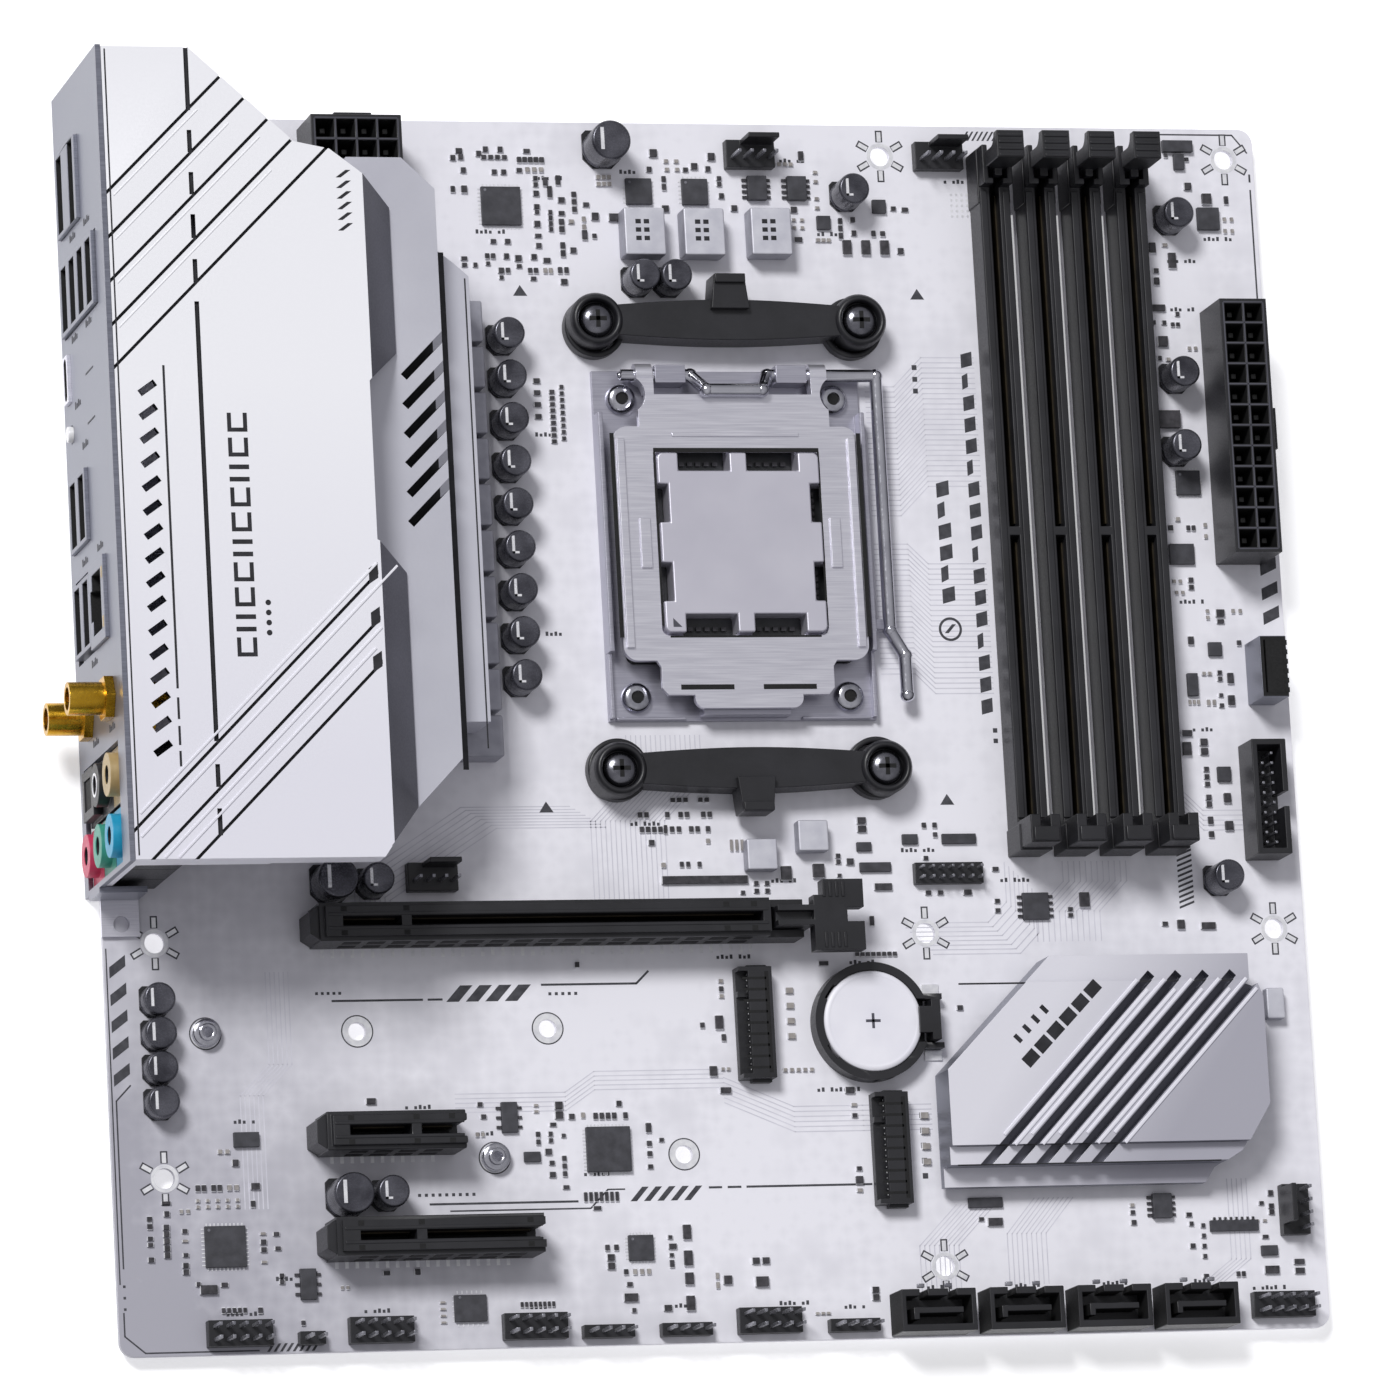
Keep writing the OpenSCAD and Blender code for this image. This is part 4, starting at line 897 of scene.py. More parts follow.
    def designators(self) -> None:
        """Prints short ticks beside parts, standing for the small legends."""
        ticks = Shape()
        rows = [
            (98, -73, 7), (120, -73, 8), (70, -72.6, 6), (10, -72.6, 8), (38, -72.6, 6), (134, -74, 5),
            (151, -70.6, 6), (169, -70.6, 6), (187, -70.6, 6), (205, -70.6, 5), (218, -72.2, 8), (14, -35.4, 5),
            (48, -33.2, 7), (62, -38.6, 4), (83, -46.9, 7), (112, -4.6, 8), (131, -31.2, 10), (139, -6, 6),
            (150, 16.2, 9), (171, 10, 7), (96, 22, 8), (124, 10.4, 6), (212, 66, 6), (213, 40, 5), (214, 126, 6),
            (214, 136, 7), (100, 153.4, 6), (134, 156, 6), (70, 141, 8), (84, 152, 6), (141, 141, 5), (168, 152, 5),
            (222, 140.6, 7), (80, 60, 5), (80, 100, 5), (20, -66, 5),
        ]
        for x, y, count in rows:
            for index in range(count):
                if (index * 7 + int(x)) % 5:
                    ticks.box(
                        (x + index * 0.9, y, TOP),
                        (x + index * 0.9 + 0.55, y + (0.85 if index % 2 else 0.6), TOP + self.ink_h)
                    )
        ticks.piece("legend_ticks", Look.INK, "white_solder_mask")


# ---- the processor and its socket ----


@dataclass
class ProcessorSocket:
    """Socket, lid, clamping plate, wire lever and screws."""

    x: float = 119.9
    y: float = 77.2
    lid_z: float = 9.2

    def build(self) -> None:
        """Builds the socket from the board upwards."""
        eased("cpu_backplate", Look.LACQUER, "dark_steel", 0.3)
        eased("socket_body", Look.NYLON, "black_nylon", 0.15)
        self.carrier()
        self.lid()
        self.frame()
        self.plate()
        lever = Shape.of_node("load_lever").swell(0.42)
        lever.stand_in("load_lever", Look.WIRE, "nickel_plate", "load_lever")
        self.screws()

    def carrier(self) -> None:
        """Builds the carrier with the small capacitors that show in the lid's notches."""
        eased("processor_substrate", Look.CARRIER, "chip_carrier", 0.08)
        parts = Shape()
        for side in (-1, 1):
            for across in (-1, 1):
                for step in range(5):
                    cx = self.x + 7 * across + (step - 2) * 1.7
                    parts.box(
                        (cx - 0.5, self.y + side * 16.6 - 0.4, 4.0), (cx + 0.5, self.y + side * 16.6 + 0.4, 4.7)
                    )
                    cy = self.y + 7.9 * across + (step - 2) * 1.3
                    parts.box(
                        (self.x + side * 15.9 - 0.4, cy - 0.4, 4.0), (self.x + side * 15.9 + 0.4, cy + 0.4, 4.7)
                    )
        parts.piece("carrier_capacitors", Look.CERAMIC, "chip_carrier")

    def lid(self) -> None:
        """Builds the notched lid and a plain corner triangle on it."""
        eased("heat_spreader", Look.NICKEL, "nickel_plate", 0.35)
        mark = Shape()
        corner = [(self.x - 15, self.y - 17), (self.x - 13.2, self.y - 17), (self.x - 15, self.y - 15.2)]
        mark.prism(corner, self.lid_z, self.lid_z + 0.02)
        mark.piece("lid_corner_mark", Look.GREY_COAT, "nickel_plate")

    def frame(self) -> None:
        """Builds the stamped base with its turned-up rims and the lever's rest."""
        base = Shape.of_node("socket_frame").bevel(0.3)
        base.stand_in("socket_frame", Look.BASE_STEEL, "stamped_steel")
        rims = Shape()
        for x in (93.1, 146.7):
            rims.box((x - 0.45, 56, 5.9), (x + 0.45, 104, 6.3))
            rims.box((x - 0.4, 43, 2.55), (x + 0.4, 56.4, 4.2))
        rims.box((94, 42.7, 2.55), (108, 43.3, 3.6))
        rims.box((131.8, 42.7, 2.55), (145.8, 43.3, 3.6))
        rims.bevel(0.15)
        rims.piece("socket_frame_rims", Look.BASE_STEEL, "stamped_steel")

    def plate(self) -> None:
        """Builds the clamping plate with its rolled side rims, pressed bosses and front slits, and painted shadows
        round the lid's window and along the rolled folds.
        """
        plate = Shape.of_node("load_plate").bevel(0.45, 3)
        plate.stand_in("load_plate", Look.STEEL, "stamped_steel", "load_plate")
        rims = Shape()
        for side in (-1, 1):
            x = self.x + side * 23.6
            rims.box((x - 0.8, self.y - 21, 8.0), (x + 0.8, self.y + 21, 8.7))
            boss = self.x + side * 19.4
            rims.box((boss - 1.1, self.y - 5, 8.0), (boss + 1.1, self.y + 5, 8.55))
        rims.box((self.x - 13, 98.6, 8.0), (self.x + 13, 99.4, 8.3))
        for side in (-1, 1):
            lip = ((9, 57.5), (19.8, 57.5), (18.6, 54), (17.6, 52.5), (17.6, 48.2), (16.4, 46.8), (9, 46.8))
            rims.prism([(self.x + side * across, along) for across, along in lip], 6.9, 8.03)
        rims.bevel(0.28, 3)
        rims.piece("load_plate_ribs", Look.STEEL, "stamped_steel", "load_plate")
        slits = Shape()
        for side in (-1, 1):
            x = self.x + side * 8.4
            slits.box((x - 5.4, 47.9, 8.06), (x + 5.4, 48.9, 8.1))
            # painted shade: dark strips along each rolled fold and beside the lid's window
            fold, rim = self.x + side * 25.2, self.x + side * 16.75
            slits.box((fold - 0.6, self.y - 19, 8.7), (fold + 0.25, self.y + 22, 8.74))
            slits.box((rim - 0.2, self.y - 16.5, 8.06), (rim + 0.2, self.y + 18.4, 8.1))
        # painted shadows along the top and bottom edges of the lid's window
        slits.box((self.x - 16.9, self.y + 18.3, 8.06), (self.x + 16.9, self.y + 19.15, 8.1))
        slits.box((self.x - 15.4, self.y - 18.9, 8.06), (self.x + 15.4, self.y - 18.5, 8.1))
        slits.piece("load_plate_slits_and_shadows", Look.RECESS, "stamped_steel", "load_plate")

    def screws(self) -> None:
        """Builds the star-drive screws with domed heads and a dark drive recess."""
        heads, drives = Shape(), Shape()
        for x in (self.x - 21.7, self.x + 21.7):
            for y in (self.y - 30, self.y + 30):
                heads.turned(
                    (x, y, 2.6),
                    [(0, 0), (3.0, 0), (3.0, 0.8), (2.7, 1.4), (2.1, 1.75), (1.3, 1.8), (1.3, 1.1), (0, 1.1)]
                )
                drives.turned((x, y, 3.7), [(0, 0), (1.25, 0), (1.25, 0.25), (0.55, 0.3), (0, 0.3)], sides=12)
        heads.piece("socket_screw_heads", Look.SCREW, "screw_steel", BOARD, ("socket_screws",))
        drives.piece("socket_screw_drives", Look.RECESS, "screw_steel")


@dataclass
class CoolerBracket:
    """One moulded bar with round screw seats and a clip hook; out is +1 above the socket and -1 below."""

    name: str
    out: int
    x: float = 119.9
    socket_y: float = 77.2
    half_span: float = 27.0
    ring_r: float = 5.4
    waist: float = 3.1

    def build(self) -> None:
        """Builds the bar with its two screw seats and its hook, then the lips round its feet."""
        mid = self.socket_y + self.out * 45
        bar = Shape()
        for side in (-1, 1):
            spot = (self.x + side * self.half_span, mid, TOP)
            bar.turned(
                spot,
                [
                    (0, 0), (self.ring_r, 0), (self.ring_r, 6.6), (5.0, 7.4), (4.6, 7.8), (4.2, 7.8), (3.9, 7.4),
                    (3.85, 5.6), (0, 5.6)
                ],
                sides=48,
            )
        steps = 16
        outer, inner = [], []
        for index in range(steps + 1):
            t = index / steps
            x = self.x + (2 * t - 1) * (self.half_span - 4.0)
            arch = math.sin(math.pi * t)
            outer.append((x, mid + self.out * (1.3 + self.waist * 0.55 + 1.1 * arch)))
            inner.append((x, mid - self.out * (self.waist + 1.0 * arch)))
        bar.prism(outer + inner[::-1], TOP, TOP + 7.0)
        bar.prism(
            [
                (self.x - 3.9, mid + self.out * 2), (self.x + 3.9, mid + self.out * 2),
                (self.x + 3.1, mid + self.out * 9), (self.x - 3.1, mid + self.out * 9)
            ],
            TOP + 2.4,
            TOP + 8.6,
        )
        bar.box((self.x - 3.1, mid + self.out * 8 - 0.9, TOP + 8.2), (self.x + 3.1, mid + self.out * 8 + 0.9, 11))
        bar.bevel(0.55, 3, 40)
        bar.piece(self.name + "_finished", Look.NYLON, "black_nylon", BOARD, (self.name,))
        lips = Shape()
        for side in (-1, 1):
            foot = (self.x + side * self.half_span - side * 0.6, mid - self.out * 0.6)
            lips.ring(foot, 5.0, 6.2, TOP, TOP + 3.0, 48)
        lips.bevel(0.4, 2)
        lips.piece(self.name + "_feet", Look.NYLON, "black_nylon")


@dataclass
class BracketScrews:
    """The four pan-head cross-drive screws of the cooler brackets."""

    x: float = 119.9
    y: float = 77.2

    def build(self) -> None:
        """Builds domed heads with a cross recess each."""
        heads, recess = Shape(), Shape()
        for sx in (-27, 27):
            for sy in (-45, 45):
                spot = (self.x + sx, self.y + sy, 7.2)
                heads.turned(
                    spot, [(0, 0), (3.5, 0), (3.5, 0.7), (3.2, 1.3), (2.4, 1.9), (1.2, 2.2), (0, 2.25)], sides=40
                )
                for wide, deep in ((1.75, 0.42), (0.42, 1.75)):
                    recess.box((spot[0] - wide, spot[1] - deep, 8.8), (spot[0] + wide, spot[1] + deep, 9.48))
        heads.piece("bracket_screw_heads", Look.DARK_SCREW, "screw_steel", BOARD, ("cooler_bracket_screws",))
        recess.piece("bracket_screw_recesses", Look.RECESS, "screw_steel")


# ---- slots ----


@dataclass
class MemoryBank:
    """Four memory slots with their tilting latches."""

    first_x: float = 176.2
    pitch: float = 9.5
    start_y: float = 15.3
    end_y: float = 157.6
    hinge_y: float = 154.0

    def build(self) -> None:
        """Builds glowing mask strips between the slots as painted light, then each slot with painted shade as its
        groove lining, its end stops and latch.
        """
        # painted shade: the contacts get a dark gold
        eased("slot_contacts", Look.DEEP_GOLD, "gold_plate", 0.02)
        # painted light: glowing mask strips in the deep gaps between the slots
        gaps = Shape()
        for index in range(3):
            x = self.first_x + (index + 0.5) * self.pitch
            gaps.box((x - 1.05, self.start_y + 6.5, TOP + 0.01), (x + 1.05, self.end_y - 12, TOP + 0.06))
        gaps.piece("memory_slot_gap_glow", Look.GLOWING_MASK, "white_solder_mask")
        for index in range(4):
            x = self.first_x + index * self.pitch
            eased(f"memory_slot_{index + 1}", Look.NYLON, "black_nylon", 0.25)
            self.trim(index, x)
            self.latch(index, x)

    def trim(self, index: int, x: float) -> None:
        """Adds the long side rails, the key bridge and the broad foot of the fixed end."""
        rails = Shape()
        for side in (-1, 1):
            rails.box((x + side * 2.35 - 0.75, 21.5, 8.7), (x + side * 2.35 + 0.75, 148.8, 9.2))
        rails.box((x - 3.35, 14.9, TOP), (x + 3.35, 20.2, 10.5))
        rails.box((x - 2.6, 15.6, 17.3), (x + 2.6, 18.4, 18.0))
        rails.box((x - 3.4, 146.4, TOP), (x - 2.9, 157.4, 8.6)).box((x + 2.9, 146.4, TOP), (x + 3.4, 157.4, 8.6))
        rails.bevel(0.22, 2)
        rails.piece(f"memory_slot_{index + 1}_rails", Look.NYLON, "black_nylon")
        # painted shade: near-black strips on the groove floor, either side of the key
        groove = Shape()
        groove.box((x - 0.9, 18, 3.62), (x + 0.9, 78.5, 3.7)).box((x - 0.9, 80.5, 3.62), (x + 0.9, 150, 3.7))
        groove.piece(f"memory_slot_{index + 1}_floor", Look.RECESS, "black_nylon")

    def latch(self, index: int, x: float) -> None:
        """Builds one latch with a ribbed, swept thumb head."""
        name = f"memory_latch_{index + 1}"
        body = Shape.of_node(name).bevel(0.3, 2)
        body.stand_in(name, Look.NYLON, "black_nylon", name)
        ribs = Shape()
        for step in range(4):
            y = self.hinge_y - 0.9 + step * 1.35
            ribs.box((x - 2.4, y - 0.3, 21.5), (x + 2.4, y + 0.3, 21.85))
        ribs.bevel(0.12, 2)
        ribs.piece(name + "_ribs", Look.NYLON, "black_nylon", name)


@dataclass
class CardSlot:
    """One card slot with its contact windows and moulded panels."""

    node: str
    y: float
    start_x: float
    end_x: float
    key_x: float = 47.5

    def build(self) -> None:
        """Builds the slot body, the small windows beside the groove and the panels on its flank."""
        eased(self.node, Look.NYLON, "black_nylon", 0.25)
        dark = Shape()
        spots = [self.start_x + 4.6, self.key_x] + (
            [self.end_x - 3.0] if self.node != "graphics_slot" else [self.end_x - 3.4, self.end_x - 9]
        )
        for x in spots:
            for side in (-1, 1):
                dark.box((x - 0.6, self.y + side * 2.35 - 0.5, 12.7), (x + 0.6, self.y + side * 2.35 + 0.5, 12.83))
        # painted shade: near-black strips on the groove floor either side of the key
        dark.box((self.start_x + 4.5, self.y - 0.85, 4.42), (self.key_x - 1.1, self.y + 0.85, 4.5))
        dark.box((self.key_x + 1.1, self.y - 0.85, 4.42), (self.end_x - 1.7, self.y + 0.85, 4.5))
        cells = int((self.end_x - self.start_x - 6) // 4.9)
        for index in range(cells):
            x = self.start_x + 5 + index * 4.9
            dark.box((x, self.y - 3.8, 3.0), (x + 3.4, self.y - 3.72, 5.6))
            dark.box((x, self.y - 3.8, 7.4), (x + 3.4, self.y - 3.72, 10.2))
        dark.piece(self.node + "_windows", Look.RECESS, "black_nylon")
        rails = Shape()
        for side in (-1, 1):
            rails.box(
                (self.start_x + 1.4, self.y + side * 1.35 - 0.3, 12.7),
                (self.end_x - 0.6, self.y + side * 1.35 + 0.3, 12.95)
            )
        rails.prism(
            [
                (self.start_x - 1.8, self.y - 2.2), (self.start_x + 0.3, self.y - 3.6),
                (self.start_x + 0.3, self.y + 3.6), (self.start_x - 1.8, self.y + 2.2)
            ],
            TOP,
            11.2,
        )
        rails.bevel(0.12, 2)
        rails.piece(self.node + "_rails", Look.NYLON, "black_nylon")


@dataclass
class CardLatch:
    """The rocking latch at the end of the graphics slot."""

    y: float = 2.1

    def build(self) -> None:
        """Builds the latch with grip ribs on its pads."""
        name = "graphics_slot_latch"
        Shape.of_node(name).bevel(0.35, 3).stand_in(name, Look.NYLON, "black_nylon", name)
        ribs = Shape()
        for step in range(4):
            x = 131.2 + step * 1.3
            for side in (-1, 1):
                ribs.box((x - 0.3, self.y + side * 5.0 - 1.5, 13.35), (x + 0.3, self.y + side * 5.0 + 1.5, 13.65))
        ribs.bevel(0.1, 2)
        ribs.piece(name + "_ribs", Look.NYLON, "black_nylon", name)


@dataclass
class StorageSockets:
    """Two low card sockets and the standoffs that face them."""

    sockets: list[tuple[str, float, float]] = field(
        default_factory=lambda: [("drive_socket_upper", 118.4, -17.8), ("drive_socket_lower", 144.7, -43)]
    )

    def build(self) -> None:
        """Builds the sockets with their contact combs and solder feet, then the standoffs."""
        feet, dark = Shape(), Shape()
        for name, x, y in self.sockets:
            eased(name, Look.NYLON, "black_nylon", 0.2)
            for step in range(36):
                foot_y = y - 9.6 + step * 0.55
                feet.box((x + 3.3, foot_y - 0.12, TOP), (x + 4.5, foot_y + 0.12, TOP + 0.25))
                if step % 2:
                    feet.box((x - 1.2, foot_y - 0.12, 3.62), (x + 1.4, foot_y + 0.12, 3.72))
            for step in range(9):
                dark.box((x - 2.6, y - 9.2 + step * 2.2, 5.98), (x + 2.2, y - 9.2 + step * 2.2 + 0.5, 6.03))
            dark.box((x + 1.9, y - 10, 5.98), (x + 2.7, y + 10, 6.03))
        feet.piece("drive_socket_feet", Look.TIN, "solder")
        dark.piece("drive_socket_slits", Look.RECESS, "black_nylon")
        posts = Shape()
        for x, y in ((9.2, -17.8), (65.3, -43)):
            posts.turned(
                (x, y, 0.2),
                [
                    (0, 0.6), (1.0, 0.6), (1.0, 4.15), (1.2, 4.25), (1.62, 4.2), (1.7, 4.1), (1.7, 3.45), (2.6, 3.4),
                    (2.75, 3.25), (2.75, 2.7), (2.55, 2.6), (2.55, 2.3), (2.75, 2.2), (2.75, 1.42), (1.7, 1.42),
                    (1.7, 0), (0, 0)
                ],
                sides=36,
            )
        posts.piece("drive_standoffs_turned", Look.SCREW, "screw_steel", BOARD, ("drive_standoffs",))


@dataclass
class BackupBattery:
    """The coin cell in its open holder with a sprung catch."""

    x: float = 142.0
    y: float = -17.9

    def build(self) -> None:
        """Builds the holder, the cell with a plain plus sign, and the catch."""
        holder = Shape.of_node("battery_holder").bevel(0.35, 3)
        holder.stand_in("battery_holder", Look.NYLON, "black_nylon")
        cell = Shape()
        cell.turned(
            (self.x, self.y, 2.6),
            [
                (0, 0), (8.7, 0), (9.0, 0.15), (9.1, 0.6), (9.9, 0.7), (10.0, 0.9), (10.0, 2.7), (9.75, 3.05),
                (9.2, 3.2), (8.9, 3.17), (8.7, 3.1), (0, 3.1)
            ],
            sides=96,
        )
        cell.stand_in("coin_cell", Look.CELL, "nickel_plate")
        sign = Shape()
        sign.box(
            (self.x - 1.5, self.y - 0.28, 5.69), (self.x + 1.5, self.y + 0.28, 5.72)
        ).box((self.x - 0.28, self.y - 1.5, 5.69), (self.x + 0.28, self.y + 1.5, 5.72))
        sign.piece("coin_cell_sign", Look.GREY_COAT, "nickel_plate")
        eased("battery_catch", Look.NYLON, "black_nylon", 0.2, "battery_catch")
        leg = Shape()
        leg.box(
            (153.2, self.y - 7.6, TOP), (156.8, self.y - 5.6, 2.0)
        ).box((153.2, self.y + 5.6, TOP), (156.8, self.y + 7.6, 2.0)).bevel(0.1)
        leg.piece("battery_holder_legs", Look.TIN, "solder")


# ---- heatsinks and the rear cover ----


@dataclass
class ChipsetHeatsink:
    """The flat silver heatsink over the chipset, with cut grooves and a stepped front."""

    top_z: float = 13.0
    groove_z: float = 9.6
    first_groove: Point = (179.6, -29.0)
    groove_step: float = 5.65
    tilt: float = 46.0

    def build(self) -> None:
        """Builds the chip, pads and screws, then the block with its dark grooves and raised ridges."""
        eased("chipset_chip", Look.CARRIER, "black_epoxy", 0.1)
        eased("thermal_pads", Look.PAD, "thermal_pad", 0.15)
        eased("heatsink_screws", Look.SCREW, "screw_steel", 0.15)
        block = Shape.of_node("chipset_heatsink").bevel(0.3, 3)
        block.paint(Look.PANEL, lambda mid, normal: normal.z < 0.3)
        block.paint(
            Look.GREY_COAT,
            lambda mid, normal: within(mid.z, self.groove_z - 0.1, self.groove_z + 0.15) and normal.z > 0.9
        )
        block.stand_in("chipset_heatsink", Look.GRADED, "silver_coated_aluminium")
        ridges, seams = Shape(), Shape()
        lean = math.radians(self.tilt)
        for index in range(5):
            x, y = self.first_groove[0] + index * self.groove_step, self.first_groove[1]
            for side in (-1, 1):
                shift = side * 1.45
                ax, ay = x - shift * math.sin(lean), y + shift * math.cos(lean)
                ends = [(ax + run * math.cos(lean), ay + run * math.sin(lean)) for run in (-19.2, 22.6)]
                ridges.line(ends, 0.7, self.top_z - 0.02, self.top_z + 0.28)
        ridges.bevel(0.12, 2)
        ridges.piece("chipset_heatsink_ridges", Look.COAT, "silver_coated_aluminium")
        seams.line([(158, -11.85), (217, -11.85)], 0.35, self.top_z - 1.01, self.top_z - 0.95)
        seams.line([(156, -43.7), (214, -43.7)], 0.3, self.top_z - 2.02, self.top_z - 1.96)
        seams.line([(156, -47.5), (210, -47.5)], 0.3, 10.98, 11.03)
        for step in range(4):
            stroke = [(168.6 + step * 1.9, -22.4 + step * 1.9), (169.7 + step * 1.9, -23.5 + step * 1.9)]
            seams.line(stroke, 0.9, self.top_z, self.top_z + 0.03)
        for step in range(6):
            stroke = [(170.8 + step * 2.7, -27.6 + step * 2.7), (172.3 + step * 2.7, -26.1 + step * 2.7)]
            seams.line(stroke, 2.5, self.top_z, self.top_z + 0.03)
        seams.piece("chipset_heatsink_marks", Look.GROOVE, "silver_coated_aluminium")


@dataclass
class PowerStage:
    """The stepped heatsink beside the socket, with its dark slanted slots, and the chokes and chips in front."""

    slot_z: float = 22.5
    lower_z: float = 22.0
    upper_z: float = 30.0
    slot_x: Point = (47.5, 55.6)
    slot_y: Point = (70, 117)
    lone_choke_x: float = 95.0
    low_choke_y: float = 30.0

    def build(self) -> None:
        """Builds the heatsink with dark slots and fin gaps, the chips and the chokes."""
        sink = Shape.of_node("vrm_heatsink").bevel(0.3, 3)
        sink.paint(Look.GROOVE, self.in_slot)
        sink.stand_in("vrm_heatsink", Look.SINK, "silver_coated_aluminium")
        lines = Shape()
        lines.line([(58.5, 30), (58.5, 132)], 1.1, self.lower_z, self.lower_z + 0.03)
        lines.line([(63.1, 34), (63.1, 127)], 0.3, self.lower_z, self.lower_z + 0.03)
        lines.piece("vrm_heatsink_lines", Look.GROOVE, "silver_coated_aluminium")
        self.chips()
        self.chokes()

    def in_slot(self, mid: Vector, normal: Vector) -> bool:
        """Whether a face lines one of the slanted slots."""
        deep = within(mid.z, self.slot_z - 0.1, self.upper_z - 0.4)
        return deep and within(mid.x, *self.slot_x) and within(mid.y, *self.slot_y)

    def chips(self) -> None:
        """Builds the flat chips with their legs, pads and key dots."""
        eased("chips", Look.EPOXY, "black_epoxy", 0.12)
        legs, dots, leads = Shape(), Shape(), Shape()
        for x, y, wide, deep, count in (
            (128.8, 150.5, 3.9, 4.9, 4), (137, 150.5, 3.9, 4.9, 4), (200, -55.2, 3.9, 4.9, 4),
            (177.8, 5, 5.4, 5.4, 4), (27.1, -66.8, 3.2, 6, 3), (68.5, -35.2, 3.2, 6, 3)
        ):
            for index in range(count):
                leg_y = y + (index - (count - 1) / 2) * deep / (count + 0.2)
                for side in (-1, 1):
                    near, far = x + side * wide / 2, x + side * (wide / 2 + 0.95)
                    leads.box((min(near, far), leg_y - 0.27, TOP), (max(near, far), leg_y + 0.27, TOP + 0.45))
        for x, y, half, count in (
            (76.2, 146.5, 4, 10), (11.2, -59.2, 4, 10), (88, -41.8, 4.4, 12), (93.5, -61.2, 2.5, 7),
            (215.2, 90.6, 2.5, 7), (104.5, 149.7, 2.65, 6), (116, 149.7, 2.65, 6), (58.9, -72.2, 2.9, 6)
        ):
            for index in range(count):
                run = (index - (count - 1) / 2) * (2 * half - 1) / (count - 1)
                for side in (-1, 1):
                    cx, cy = x + side * (half + 0.3), y + side * (half + 0.3)
                    legs.box((cx - 0.3, y + run - 0.13, TOP), (cx + 0.3, y + run + 0.13, TOP + 0.08))
                    legs.box((x + run - 0.13, cy - 0.3, TOP), (x + run + 0.13, cy + 0.3, TOP + 0.08))
            dots.rod((x - half + 0.8, y + half - 0.8, TOP + 0.88), 0.28, 0.06, sides=12)
        legs.piece("chip_legs", Look.TIN, "solder")
        leads.piece("chip_leads", Look.CERAMIC, "solder")
        dots.piece("chip_key_dots", Look.CAN_TOP, "black_epoxy")

    def chokes(self) -> None:
        """Builds the row inductors in grey and the lone ones under a lighter plate with stamped strokes."""
        body = Shape.of_node("chokes").bevel(0.4, 2)
        body.paint(
            Look.PALE_CAN,
            lambda mid, normal: (mid.x > self.lone_choke_x or mid.y < self.low_choke_y) and normal.z > 0.4
        )
        body.stand_in("chokes", Look.FERRITE, "grey_ferrite")
        strokes = Shape()
        for x, y, z in ((104.2, 140.6, 6.6), (116.4, 140.6, 6.6), (130.2, 140.8, 6.6)):
            for row in range(3):
                for step in range(2):
                    strokes.box(
                        (x - 1.9 + step * 1.7, y - 1.9 + row * 1.7, z),
                        (x - 0.8 + step * 1.7, y - 1.0 + row * 1.7, z + 0.02)
                    )
            strokes.box((x - 3.9, y - 4.4, TOP + 0.05), (x - 1.2, y - 4.1, TOP + 2.6))
        strokes.piece("choke_strokes", Look.GROOVE, "grey_ferrite")


